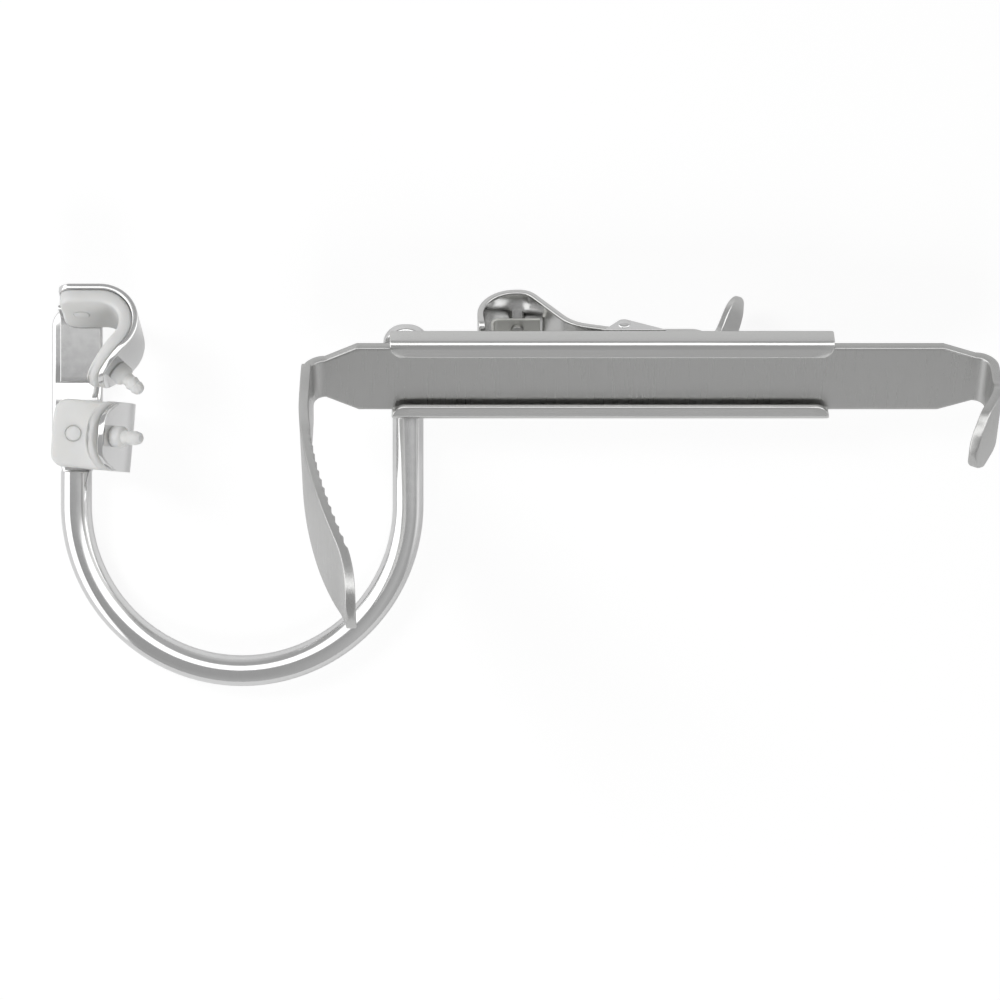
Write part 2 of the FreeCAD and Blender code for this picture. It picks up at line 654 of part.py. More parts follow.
def lever_moves():
    """Centreline of the lever strip, from the bottom of its loop to the end of its arm."""
    rise, slope = size("loop_rise"), size("arm_slope")
    return [
        (size("loop_flat"), 0), (size("loop_turn"), rise), (size("loop_slope"), 0),
        (size("shoulder_radius"), slope - rise), (size("shoulder_length"), 0),
        (size("arm_radius"), -slope), (size("arm_length"), 0),
    ]


def loop_bottom():
    """Where the loop's large bend ends: along the rail, and the centreline's depth."""
    _, reach, _ = bent_strip((0, 0), 0, lever_moves(), size("lever_thick"))
    arm_depth = rail_back + size("arm_gap") + size("lever_thick") / 2
    arm_end = size("pawl_along") + size("arm_over")
    return arm_end - reach.x, arm_depth + reach.y


def build_release_lever():
    """One strip: finger loop, pivot barrel, arm and the oval thumb tab."""
    thick = size("lever_thick")
    radius = size("loop_radius")
    sweep = math.radians(size("loop_sweep"))
    left, depth = loop_bottom()
    end_depth = rail_back + size("loop_gap")
    free_end = (depth - radius * (1 - math.cos(sweep)) - end_depth) / math.sin(sweep)
    start = (left - radius * math.sin(sweep) - free_end * math.cos(sweep), -end_depth)
    moves = [(free_end, 0), (radius, size("loop_sweep"))] + lever_moves()
    moves += [(size("tab_radius"), -size("tab_lean")), (size("tab_length"), 0)]
    face, tip, _ = bent_strip(start, -size("loop_sweep"), moves, thick)
    strip = side_view(face, lever_bottom, lever_top)
    # The tab is rounded like the end of a spoon
    half = size("lever_width") / 2
    lean = math.radians(size("tab_lean"))
    outward = Vector(math.cos(lean), 0, -math.sin(lean))
    nose_length = size("tab_nose")
    corner = Vector(tip.x, size("lever_shift"), tip.y) - outward * nose_length
    edge_start = corner - Y_AXIS * half
    edge_stop = corner + Y_AXIS * half
    nose = Part.Arc(edge_start, corner + outward * nose_length, edge_stop).toShape()
    far = outward * size("tab_length")
    beyond = Part.Wire([
        nose,
        Part.makeLine(edge_stop, edge_stop + Y_AXIS * half),
        Part.makeLine(edge_stop + Y_AXIS * half, edge_stop + Y_AXIS * half + far),
        Part.makeLine(edge_stop + Y_AXIS * half + far, edge_start - Y_AXIS * half + far),
        Part.makeLine(edge_start - Y_AXIS * half + far, edge_start - Y_AXIS * half),
        Part.makeLine(edge_start - Y_AXIS * half, edge_start),
    ])
    across = Vector(math.sin(lean), 0, math.cos(lean))
    scrap = Part.Face(beyond).extrude(across * half * 2)
    scrap.translate(-across * half)
    strip = strip.cut(scrap)
    pivot = Vector(size("pivot_along"), lever_bottom, -pivot_depth)
    barrel = Part.makeCylinder(size("barrel_diameter") / 2, size("lever_width"), pivot, Y_AXIS)
    bore = Part.makeCylinder(size("pin_diameter") / 2 + size("pin_fit"),
                             size("lever_width"), pivot, Y_AXIS)
    rivet = Part.makeCylinder(size("rivet_diameter") / 2, rail_back, rivet_centre(), -Z_AXIS)
    lever = strip.fuse(barrel).cut([bore, rivet]).removeSplitter()
    return feature("release_lever", lever, RAIL)


def rivet_centre():
    along = size("pawl_along") - size("pawl_length") / 2
    return Vector(along, size("lever_shift"), -rail_back - size("arm_gap") + size("lever_thick"))


def build_pawl():
    """Wedge that drops into a ratchet notch, riveted to the lever's arm."""
    face_x = size("pawl_along")
    length = size("pawl_length")
    tip = -bar_back - size("pawl_clear")
    root = -rail_back - size("arm_gap")
    low = size("lever_shift") - size("pawl_width") / 2
    wedge = polygon_face([
        Vector(face_x, low, root), Vector(face_x, low, tip),
        Vector(face_x - length, low, tip - size("pawl_slope")), Vector(face_x - length, low, root),
    ]).extrude(Y_AXIS * size("pawl_width"))
    blind = Part.makeCylinder(size("rivet_diameter") / 2, size("pawl_slope"),
                              Vector(rivet_centre().x, size("lever_shift"), root), Z_AXIS)
    feature("pawl", wedge.cut(blind), RAIL)
    outside = root - size("lever_thick")
    middle = Vector(rivet_centre().x, size("lever_shift"), outside)
    shank = placed_cylinder("RivetShank", "Sizes.rivet_diameter / 2",
                            "Sizes.lever_thick + Sizes.pawl_slope", middle, Z_AXIS)
    head = placed_cylinder("RivetHead", "Sizes.rivet_head / 2", "Sizes.rivet_diameter / 3",
                           middle, -Z_AXIS)
    fuse("pawl_rivet", [shank, head])


def build_spring(lever):
    """Leaf spring on a post inside the finger loop; its foot stands off the rail."""
    along = -size("post_along")
    shift = size("lever_shift")
    half_strip = size("lever_thick") / 2
    _, floor = loop_bottom()
    seat = floor - half_strip - size("post_length")
    thick = size("spring_thick")
    # The post stands on the loop's curved inner face
    stock = placed_cylinder("PostStock", "Sizes.post_diameter / 2",
                            "Sizes.post_length + Sizes.lever_thick / 2",
                            Vector(along, shift, -floor), Z_AXIS)
    post = doc.addObject("Part::Cut", "spring_post")
    post.Base = stock
    post.Tool = lever
    post.Label = "spring_post"
    finished.append(post)
    head_seat = -seat + thick
    shank = placed_cylinder("ScrewShank", "Sizes.screw_diameter / 2", "Sizes.spring_thick",
                            Vector(along, shift, -seat), Z_AXIS)
    head = placed_cylinder("ScrewHead", "Sizes.screw_head / 2", "Sizes.screw_head_high",
                           Vector(along, shift, head_seat), Z_AXIS)
    solid = doc.addObject("Part::MultiFuse", "ScrewSolid")
    solid.Shapes = [shank, head]
    slot = doc.addObject("Part::Box", "ScrewSlot")
    bind(slot, {"Length": "Sizes.screw_head * 2", "Width": "Sizes.screw_slot",
                "Height": "Sizes.screw_head_high"})
    corner = Vector(along - size("screw_head"), shift - size("screw_slot") / 2,
                    head_seat + size("screw_head_high") / 2)
    slot.Placement = RAIL.multiply(Placement(corner, Rotation()))
    screw = doc.addObject("Part::Cut", "spring_screw")
    screw.Base = solid
    screw.Tool = slot
    screw.Label = "spring_screw"
    finished.append(screw)
    bend = size("spring_bend")
    half = thick / 2
    toe = math.radians(90 - size("toe_turn"))
    foot = (bend + size("toe_length") * math.tan(toe) + half) * math.cos(toe)
    leg = seat - half - bend - foot - rail_back - size("toe_gap")
    start = (along + size("spring_right"), -seat + half)
    face, _, _ = bent_strip(start, 180, [
        (size("spring_right") + size("spring_left"), 0), (bend, -90), (leg, 0),
        (bend, -size("toe_turn")), (size("toe_length"), 0)], thick)
    half_width = size("spring_width") / 2
    strip = side_view(face, shift - half_width, shift + half_width)
    hole = Part.makeCylinder(size("screw_diameter") / 2, thick * 2,
                             Vector(along, shift, -seat - half), Z_AXIS)
    feature("leaf_spring", strip.cut(hole), RAIL)


def hook_moves(which, extra):
    """Centreline of the side or front hook; extra is how far inside its middle it lies."""
    radius = size("hook_radius") - size("plate_sheet") / 2 - extra
    return [(size(which + "_flat"), 0), (radius, size(which + "_sweep")), (size("hook_leg"), 0)]


def hook_outline(top, corner):
    """Round tip seen along the hook, and round corners seen onto its flat leg."""
    width = size("plate_width")
    reach = 3 * size("hook_radius")
    middle = width / 2
    drop = size("tongue_round")
    tip = Part.Wire([
        Part.makeLine(Vector(0, -reach, 0), Vector(0, -reach, width)),
        Part.makeLine(Vector(0, -reach, width), Vector(0, top - drop, width)),
        Part.Arc(Vector(0, top - drop, width), Vector(0, top, middle),
                 Vector(0, top - drop, 0)).toShape(),
        Part.makeLine(Vector(0, top - drop, 0), Vector(0, -reach, 0)),
    ])
    tall = Part.Face(tip).extrude(X_AXIS * 2 * reach)
    tall.translate(-X_AXIS * reach)
    block = Part.makeBox(reach, 2 * reach, width, Vector(0, -reach, 0))
    left = [e for e in block.Edges
            if abs(e.Vertexes[0].Y - e.Vertexes[-1].Y) > reach and e.Vertexes[0].X < middle]
    return tall.common(block.makeFillet(corner, left))


def stem_place(which):
    """Middle of the straight leg on the plate's outer face, and the way out of it."""
    sweep = math.radians(size(which + "_sweep"))
    radius = size("hook_radius")
    end = Vector(size(which + "_flat") + radius * math.sin(sweep), radius * (1 - math.cos(sweep)), 0)
    along = Vector(math.cos(sweep), math.sin(sweep), 0)
    foot = end + along * size("stem_along") + Z_AXIS * size("plate_width") / 2
    return foot, Vector(along.y, -along.x, 0)


def plate_hook(which):
    """Hook of a tooth plate in its own frame: along the leg, up the hook, across it."""
    sheet_thick = size("plate_sheet")
    moves = hook_moves(which, 0) + [(size("flare_radius"), -size("flare_sweep"))]
    face, tip, _ = bent_strip((0, sheet_thick / 2), 0, moves, sheet_thick)
    hook = face.extrude(Z_AXIS * size("plate_width"))
    hook = hook.common(hook_outline(tip.y, size("plate_corner")))
    foot, outward = stem_place(which)
    fit = size("pad_gap")
    stem_hole = Part.makeCylinder(size("stem_diameter") / 2 + fit, 4 * sheet_thick,
                                  foot - outward * 2 * sheet_thick, outward)
    pip_hole = Part.makeCylinder(size("pip_diameter") / 2 + fit, sheet_thick,
                                 pip_middle(which), Y_AXIS)
    return hook.cut([stem_hole, pip_hole])


def pip_middle(which):
    return Vector(size(which + "_flat") / 2, 0, size("plate_width") / 2)


def pad_hook(which):
    """Silicone lining of a hook with its round plug and its barbed stem."""
    sheet_thick, pad, gap = size("plate_sheet"), size("pad_thick"), size("pad_gap")
    inset = size("pad_inset")
    extra = sheet_thick / 2 + gap + pad / 2
    moves = hook_moves(which, extra)
    moves[0] = (moves[0][0] - inset, 0)
    moves[2] = (moves[2][0] + size("pad_over"), 0)
    face, tip, heading = bent_strip((inset, sheet_thick + gap + pad / 2), 0, moves, pad)
    lean = math.radians(heading)
    end = Vector(tip.x, tip.y, 0)
    nose = Part.makeCylinder(pad / 2, size("plate_width"), end, Z_AXIS)
    lining = face.extrude(Z_AXIS * size("plate_width")).fuse(nose)
    lining = lining.common(hook_outline(tip.y + pad / 2, size("plate_corner")))
    foot, outward = stem_place(which)
    shaft = size("stem_diameter") / 2
    collar = size("stem_flange") / 2
    long_end = size("stem_length")
    inside = sheet_thick + gap + pad / 2
    profile = [
        Vector(0, 0, -inside), Vector(shaft, 0, -inside), Vector(shaft, 0, gap),
        Vector(collar, 0, gap), Vector(collar, 0, STEM_COLLAR_TOP * long_end),
    ]
    profile += [Vector(shaft * wide, 0, long_end * high) for wide, high in STEM_OUTLINE]
    profile.append(Vector(0, 0, long_end))
    stem = polygon_face(profile).revolve(Vector(0, 0, 0), Z_AXIS, 360)
    stem.Placement = Placement(foot, Rotation(Z_AXIS, outward))
    plug = Part.makeCylinder(size("pip_diameter") / 2, sheet_thick + gap + pad + size("pip_rise"),
                             pip_middle(which), Y_AXIS)
    return lining.multiFuse([stem, plug]).removeSplitter()


def build_tooth_plates():
    """Side hook flat on the paddle, front hook on a base bent up from the paddle."""
    thick = size("plate_sheet")
    paddle_top = size("paddle_thick")
    side = Placement(Vector(size("side_plate_left"), size("side_plate_top"), paddle_top),
                     Rotation(Z_AXIS, size("side_plate_turn")).multiply(Rotation(X_AXIS, 90)))
    feature("side_tooth_plate", plate_hook("side"), side)
    feature("side_tooth_pad", pad_hook("side"), side)

    angle = size("front_angle")
    bend = size("front_bend")
    base = size("front_base_length")
    rise = size("plate_width")
    low = size("front_base_low")
    left = size("front_plate_left")
    moves = [(base, 0), (bend, angle), (rise, 0)]
    face, top, _ = bent_strip((low, paddle_top + thick / 2), 0, moves, thick)
    turned = Placement(Vector(left, 0, 0),
                       Rotation(Y_AXIS, 90).multiply(Rotation(Z_AXIS, 90)))
    sheet_strip = face.extrude(Z_AXIS * size("front_base_width"))
    sheet_strip.Placement = turned
    lean = math.radians(angle)
    outer = Vector(0, math.sin(lean), -math.cos(lean))
    hook_left = left + size("front_hook_offset")
    corner = Vector(hook_left, top.x, top.y) + outer * thick / 2
    front = Placement(corner, Rotation(X_AXIS, 90 + angle))
    hook = plate_hook("front")
    hook.Placement = front
    strip_top = paddle_top + thick + size("front_overlap")
    block = Part.makeBox(2 * rise, 2 * rise, strip_top, Vector(-rise, low - thick, 0))
    plate = hook.fuse(sheet_strip.common(block)).removeSplitter()
    feature("front_tooth_plate", plate)
    feature("front_tooth_pad", pad_hook("front"), front)


build_frame_rod()
build_guide_rail()
build_tongue_bar()
build_pivot()
release_lever = build_release_lever()
build_pawl()
build_spring(release_lever)
build_tooth_plates()

doc.recompute()
for item in doc.Objects:
    if "Invalid" in item.State or "Error" in item.State:
        raise RuntimeError(f"{item.Name} failed: {item.State}")
os.makedirs("parts", exist_ok=True)
for item in finished:
    if item.Shape.isNull() or not item.Shape.isValid():
        raise RuntimeError(f"{item.Label} has no valid shape")
    item.Shape.exportStep(f"parts/{item.Label}.step")
    box = item.Shape.BoundBox
    print(item.Label, len(item.Shape.Solids), round(item.Shape.Volume, 1),
          [round(v, 1) for v in (box.XMin, box.XMax, box.YMin, box.YMax, box.ZMin, box.ZMax)])
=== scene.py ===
"""Looks of a mouth gag: polished rod, brushed sheet rail, satin tongue bar, sprung
lever and two hooked tooth plates with silicone linings.

Metres, in the frame of the CAD model. The rail, the bar and the lever are drawn in the
rail's own frame (along, across, out of its open front), and each tooth plate in its own.
"""
import math

import bmesh
import bpy
from mathutils import Matrix, Vector


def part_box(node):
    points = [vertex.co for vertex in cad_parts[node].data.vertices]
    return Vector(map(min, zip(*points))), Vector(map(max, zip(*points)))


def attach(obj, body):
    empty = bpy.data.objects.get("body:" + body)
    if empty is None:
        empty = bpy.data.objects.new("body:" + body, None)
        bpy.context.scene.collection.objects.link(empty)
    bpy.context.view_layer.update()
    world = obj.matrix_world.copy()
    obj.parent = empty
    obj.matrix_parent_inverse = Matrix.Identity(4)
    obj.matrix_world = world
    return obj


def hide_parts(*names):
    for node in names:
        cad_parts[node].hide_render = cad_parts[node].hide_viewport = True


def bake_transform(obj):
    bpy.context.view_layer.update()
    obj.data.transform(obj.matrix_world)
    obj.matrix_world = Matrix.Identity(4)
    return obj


bl_info = {
    "name": "Mouth gag",
    "version": (1, 0, 0),
    "blender": (4, 5, 0),
    "location": "View3D > Sidebar > Mouth Gag",
    "description": "Builds a steel mouth gag with silicone tooth pads and its studio",
    "category": "Add Mesh",
}

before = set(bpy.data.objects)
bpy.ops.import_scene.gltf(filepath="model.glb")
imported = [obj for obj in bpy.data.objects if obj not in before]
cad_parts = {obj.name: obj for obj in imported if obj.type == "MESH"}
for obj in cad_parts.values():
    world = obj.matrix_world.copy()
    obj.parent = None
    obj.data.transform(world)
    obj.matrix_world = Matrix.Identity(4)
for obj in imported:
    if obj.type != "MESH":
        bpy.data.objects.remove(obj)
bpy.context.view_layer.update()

MM = 0.001
QUARTER = math.pi / 2
X_AXIS, Y_AXIS, Z_AXIS = Vector((1, 0, 0)), Vector((0, 1, 0)), Vector((0, 0, 1))

# How finely meshes are drawn
RING_ARC = 3  # faces round each edge of a strip
SIDE_CUTS = (0.03, 0.16, 0.33, 0.5, 0.67, 0.84, 0.97)  # splits of its long sides
ROUND_STEPS = 14  # sections in a rounded end
BEND_STEP = math.radians(7)  # between sections in a bend
SAME_PLACE = 0.02 * MM  # sections closer than this are one
SLIVER = 0.02 * MM  # half width that a strip keeps at its tip
WELD = 0.002 * MM  # CAD points closer than this are one
SMOOTH, SMOOTH_CAD = 40.0, 35.0  # faces that meet at fewer degrees look smooth
TURNED, TURNED_SOFT = 40, 32  # faces round a turned piece

# Small sizes that nobody would change
BAR_CLEAR = 0.05 * MM  # between the bar and the rail's back
WINDOW_ALONG = 16.3 * MM  # middle of the pawl's window, right of the rail's middle
WINDOW_LONG, WINDOW_HIGH, WINDOW_CORNER = 6.0 * MM, 6.2 * MM, 0.6 * MM
PAD_EDGE, COLLAR_EDGE = 0.8 * MM, 0.25 * MM  # rounding of the lining and of its collar
COLLAR_FOOT, COLLAR_TOP = 0.04 * MM, (0.3, 0.35)  # its start, and its end per stem length
PLUG_FOOT = 0.02 * MM  # the plug starts this far from the plate's outer face
MOAT_WIDE, MOAT_DEEP = 0.14 * MM, 0.5 * MM  # groove round the plug

# Columns that turn a side view (along, out of the rail) into the rail's frame, and a view
# of an end (across, out of the rail) likewise
SIDE_VIEW = Matrix(((1, 0, 0, 0), (0, 0, 1, 0), (0, 1, 0, 0), (0, 0, 0, 1)))
END_VIEW = Matrix(((0, 0, 1, 0), (1, 0, 0, 0), (0, 1, 0, 0), (0, 0, 0, 1)))


def length(name, millimetres, text):
    """A length that a user may change."""
    return bpy.props.FloatProperty(name=name, description=text, default=millimetres * MM,
                                   min=0.0, subtype="DISTANCE", unit="LENGTH", precision=5)


def angle(name, degrees, text):
    """An angle that a user may change."""
    return bpy.props.FloatProperty(name=name, description=text, default=math.radians(degrees),
                                   subtype="ANGLE", unit="ROTATION")


def linear(code):
    """A hex colour as linear red, green, blue and alpha."""
    channels = [int(code[k:k + 2], 16) / 255 for k in (1, 3, 5)]
    return tuple(c / 12.92 if c <= 0.04045 else ((c + 0.055) / 1.055) ** 2.4
                 for c in channels) + (1.0,)


def tint(name, code, text):
    """A colour that a user may change, stored as linear values."""
    return bpy.props.FloatVectorProperty(name=name, description=text, default=linear(code),
                                         subtype="COLOR", size=4, min=0.0, max=1.0)


class RodSizes(bpy.types.PropertyGroup):
    """Sizes of the bent rod."""
    diameter: length("Rod diameter", 6.5, "Round rod of the frame")
    bow_radius: length("Bow radius", 35.0, "Centreline radius of the U bow")
    leg: length("Leg", 23.3, "From the middle of the paddle to the start of the bow")
    bend_radius: length("Lift bend", 8.0, "Bend that lifts the rod to the rail's back")
    paddle_width: length("Paddle width", 10.6, "Flattened rod under the tooth plates")
    paddle_length: length("Paddle length", 30.7, "Its flat length")
    paddle_low: length("Paddle start", 12.3, "Lower end of the flat, below the origin")
    paddle_taper: length("Paddle taper", 3.6, "Narrows under the side plate")
    paddle_step: length("Paddle step", 0.5, "Steep rise to the round rod")
    paddle_dip: length("Paddle dip", 0.45, "Polished hollow between the plates")
    paddle_thick: length("Paddle thickness", 3.0, "Thickness of the paddle")
    paddle_corner: length("Paddle corner", 4.0, "Rounded corners of its free end")
    neck: length("Neck", 3.0, "Change from round rod to flat foot")
    foot_width: length("Foot width", 9.6, "Flattened rod behind the rail")
    foot_thick: length("Foot thickness", 2.8, "Thickness of the foot")
    foot_drop: length("Foot drop", 0.75, "Foot's end below the rail's upper edge")


class RailSizes(bpy.types.PropertyGroup):
    """Sizes of the guide rail."""
    length: length("Rail length", 91.3, "Length of the guide rail")
    height: length("Rail height", 20.7, "Outer height")
    depth: length("Rail depth", 5.4, "Outer depth")
    sheet: length("Rail sheet", 1.2, "Sheet thickness")
    gap: length("Rail gap", 13.0, "Open front between the lips")
    bend: length("Rail bend", 1.5, "Outer bend radius")
    lip_round: length("Lip corner", 3.0, "Rounded ends of the lips")
    tilt: angle("Rail tilt", 42.0, "Between the rail's face and the bow's plane")
    edge: length("Rail edge", 0.4, "Rounding of the sheet's edges")


class BarSizes(bpy.types.PropertyGroup):
    """Sizes of the tongue bar."""
    thick: length("Bar thickness", 2.0, "Thickness of the bar")
    height: length("Bar height", 16.6, "Height in the rail")
    shift: length("Bar offset", 0.75, "Bar's middle, below the rail's middle")
    left_full: length("Left full height", 52.5, "Full height reaches this far left")
    right_full: length("Right full height", 68.3, "Full height reaches this far right")
    left_end: length("Left end", 63.7, "Outer face of the long blade's root")
    right_end: length("Right end", 79.7, "Outer face of the short blade's root")
    left_neck: length("Left neck", 9.8, "Neck of the long blade")
    right_neck: length("Right neck", 11.6, "Neck of the short blade")
    root_bend: length("Root bend", 3.5, "Centreline radius of both root bends")
    edge: length("Bar edge", 0.35, "Rounding of its edges")
    blade_length: length("Blade length", 68.6, "Long blade in front of the rail")
    blade_width: length("Blade width", 22.0, "Widest part of the long blade")
    blade_root: length("Blade root", 10.0, "Straight root of the long blade")
    blade_bend: length("Blade curve", 128.0, "Radius of its long curve")
    blade_sweep: angle("Blade sweep", 21.5, "Angle of its long curve, turned back at its tip")
    ridge_pitch: length("Ridge pitch", 2.6, "Grip ridges across the long blade")
    ridge_start: length("First ridge", 17.5, "First groove, along the curve")
    ridge_depth: length("Ridge depth", 0.35, "Depth of a groove")
    ridge_count: bpy.props.IntProperty(name="Ridges", description="Grooves between ridges",
                                       default=13, min=1)
    short_length: length("Short blade", 21.8, "Short blade in front of the rail")
    short_width: length("Short width", 14.6, "Width of the short blade")
    short_root: length("Short root", 5.5, "Its straight root")
    short_bend: length("Short curve", 16.0, "Radius of its lean")
    short_sweep: angle("Short sweep", 27.0, "Angle of its lean")
    tooth_pitch: length("Tooth pitch", 2.5, "Ratchet teeth on the bar's back")
    tooth_depth: length("Tooth depth", 0.7, "Depth of a tooth")
    tooth_flank: length("Tooth slope", 2.3, "Length of its slope")
    tooth_row: length("Tooth row", 7.0, "Width of the row of teeth")
    tooth_count: bpy.props.IntProperty(name="Teeth", description="Number of ratchet teeth",
                                       default=22, min=1)
    tooth_start: length("First tooth", 4.9, "Steep wall of the first tooth, left of the middle")


class LeverSizes(bpy.types.PropertyGroup):
    """Sizes of the release lever and its spring."""
    width: length("Lever width", 12.4, "Width of the strip")
    shift: length("Lever offset", 2.4, "Strip's middle, above the rail's middle")
    thick: length("Lever thickness", 1.3, "Thickness of the strip")
    edge: length("Lever edge", 0.3, "Rounding of its edges")
    loop_gap: length("Loop gap", 3.0, "Loop's free end off the rail's back")
    loop_sweep: angle("Loop sweep", 96.0, "Angle of the loop's large bend")
    loop_radius: length("Loop radius", 7.3, "Centreline radius of the large bend")
    loop_flat: length("Loop flat", 0.8, "Flat at the bottom of the loop")
    loop_turn: length("Loop turn", 4.0, "Radius of the bend after the flat")
    loop_rise: angle("Loop rise", 50.0, "Angle at which the strip comes back")
    loop_slope: length("Loop slope", 8.9, "Straight part that comes back")
    shoulder_radius: length("Shoulder", 9.0, "Bend towards the pivot")
    shoulder_length: length("Shoulder run", 6.9, "Straight part before the pivot")
    arm_slope: angle("Arm slope", 12.0, "Lean of the strip before the pivot")
    arm_radius: length("Arm bend", 14.0, "Bend at the pivot")
    arm_length: length("Arm", 14.6, "Flat arm that carries the pawl")
    arm_gap: length("Arm gap", 0.75, "Gap between arm and rail")
    arm_end: length("Arm end", 19.1, "End of the arm, right of the rail's middle")
    tab_radius: length("Tab bend", 3.0, "Bend of the thumb tab")
    tab_lean: angle("Tab lean", 66.0, "Angle of the thumb tab off the rail")
    tab_length: length("Tab length", 15.0, "Length of the thumb tab")
    pivot_along: length("Pivot", 2.6, "Pivot, right of the rail's middle")
    pivot_behind: length("Pivot depth", 1.75, "Pivot, behind the rail's back")
    barrel: length("Barrel", 3.2, "Barrel round the pin")
    pin: length("Pin", 1.6, "Pivot pin")
    pin_head: length("Pin head", 2.6, "Peened heads of the pin")


class PlateSizes(bpy.types.PropertyGroup):
    """Sizes of the two tooth plates and their linings."""
    sheet: length("Plate sheet", 1.2, "Sheet thickness of the plates")
    width: length("Plate width", 14.4, "Width of the plates")
    edge: length("Plate edge", 0.25, "Rounding of the plates' edges")
    corner: length("Plate corner", 3.0, "Rounded corners of the flat leg")
    side_flat: length("Side leg", 9.6, "Flat leg of the side plate")
    front_flat: length("Front leg", 8.8, "Flat leg of the front plate")
    hook_radius: length("Hook radius", 8.2, "Outer radius of the hook")
    side_sweep: angle("Side sweep", 121.0, "Angle of the side hook")
    front_sweep: angle("Front sweep", 133.0, "Angle of the front hook")
    hook_leg: length("Hook leg", 6.6, "Straight leg after the hook")
    flare_radius: length("Flare radius", 2.4, "Radius of the turned-out tip")
    flare_sweep: angle("Flare sweep", 42.0, "Angle of the turned-out tip")
    tip: length("Tip", 6.0, "Length of the rounded tip")
    pad: length("Pad", 2.8, "Thickness of the silicone linings")
    pad_thins: length("Pad taper", 0.9, "Lining is this much thinner at its tip")
    pad_gap: length("Pad gap", 0.05, "Gap between lining and plate")
    pad_over: length("Pad overhang", 1.6, "Lining beyond the straight leg")
    pad_inset: length("Pad inset", 0.3, "Lining inside the plate's outer edge")
    pip: length("Plug", 3.2, "Round plug in the flat leg")
    pip_rise: length("Plug rise", 0.4, "Dome of the plug above the lining")
    stem: length("Stem", 3.1, "Pull-through stem")
    stem_length: length("Stem length", 7.0, "Stem outside the plate")
    collar: length("Collar", 4.4, "Collar of the stem")
    stem_along: length("Stem place", 3.6, "Stem on the straight leg")
    side_left: length("Side plate edge", 4.3, "Its left edge, left of the paddle's middle")
    side_top: length("Side plate top", 0.7, "Its upper edge, below the paddle's middle")
    side_turn: angle("Side plate turn", -5.0, "Turn of the side plate on the paddle")
    front_left: length("Front plate edge", 3.3, "Front plate's left edge")
    base_width: length("Base width", 8.7, "Width of the front plate's base")
    base_low: length("Base start", 2.6, "Lower edge of the base")
    base_length: length("Base length", 13.1, "Flat base of the front plate")
    base_bend: length("Base bend", 1.4, "Centreline radius of its bend")
    front_angle: angle("Front angle", 70.0, "Angle of its bend")
    hook_offset: length("Hook offset", 1.2, "Hook starts right of the base's edge")


class Finishes(bpy.types.PropertyGroup):
    """Colours of the finishes."""
    polished: tint("Polished steel", "#E6E6E6", "Rod, hooks and pins")
    sheet: tint("Brushed sheet", "#DCDCDB", "Rail and lever")
    satin: tint("Satin bar", "#CBCBCA", "Tongue bar")
    hard: tint("Hard steel", "#C4C4C2", "Pawl and screw")
    spring: tint("Spring steel", "#DADAD6", "Leaf spring")
    silicone: tint("Silicone", "#FAFAF8", "Linings of the tooth plates")
    floor: tint("Floor", "#F6F6F6", "Plain pale floor")


GROUPS = {"gag_rod": RodSizes, "gag_rail": RailSizes, "gag_bar": BarSizes,
          "gag_lever": LeverSizes, "gag_plate": PlateSizes, "gag_finish": Finishes}


def add_node(tree, kind, given=None):
    """Adds one node: given holds its properties, its values and the sockets it links from."""
    node = tree.nodes.new(kind)
    for key, value in (given or {}).items():
        if isinstance(value, bpy.types.NodeSocket):
            tree.links.new(value, node.inputs[key])
        elif isinstance(key, int) or key in node.inputs:
            node.inputs[key].default_value = value
        else:
            setattr(node, key, value)
    return node


def new_tree(block):
    """The emptied node tree of a new material or world."""
    block.use_nodes = True
    block.node_tree.nodes.clear()
    return block.node_tree


def mix_colours(tree, share, first, second, blend="MIX"):
    """Socket with a mix of two colours. The share and both colours are values or sockets."""
    return add_node(tree, "ShaderNodeMix", {
        "data_type": "RGBA", "blend_type": blend, 0: share, 6: first, 7: second}).outputs[2]


def spread(tree, source, low, high, to_low=0.0, to_high=1.0):
    """Socket that carries the values between low and high to another range."""
    return add_node(tree, "ShaderNodeMapRange", {
        "From Min": low, "From Max": high, "To Min": to_low, "To Max": to_high,
        "Value": source}).outputs["Result"]


def noise(tree, place, scale, detail, roughness=0.5):
    """Socket with noise, of so many marks per metre."""
    return add_node(tree, "ShaderNodeTexNoise", {
        "Scale": scale, "Detail": detail, "Roughness": roughness,
        "Vector": place}).outputs["Fac"]


def relief_of(tree, height, strength):
    """Socket with the normals of a relief up to 0.03 mm deep."""
    return add_node(tree, "ShaderNodeBump", {
        "Strength": strength, "Distance": 0.03 * MM, "Height": height}).outputs["Normal"]


def darker(colour, share):
    """A colour at a share of its brightness."""
    return tuple(c * share for c in colour[:3]) + (1,)


def ramp(tree, source, stops):
    """Socket of a colour ramp with grey stops (position, grey)."""
    node = add_node(tree, "ShaderNodeValToRGB", {"Fac": source})
    shades = node.color_ramp.elements
    while len(shades) > 1:
        shades.remove(shades[-1])
    shades[0].position = stops[0][0]
    shades[0].color = (stops[0][1],) * 3 + (1,)
    for place, grey in stops[1:]:
        shades.new(place).color = (grey,) * 3 + (1,)
    return node.outputs["Color"]


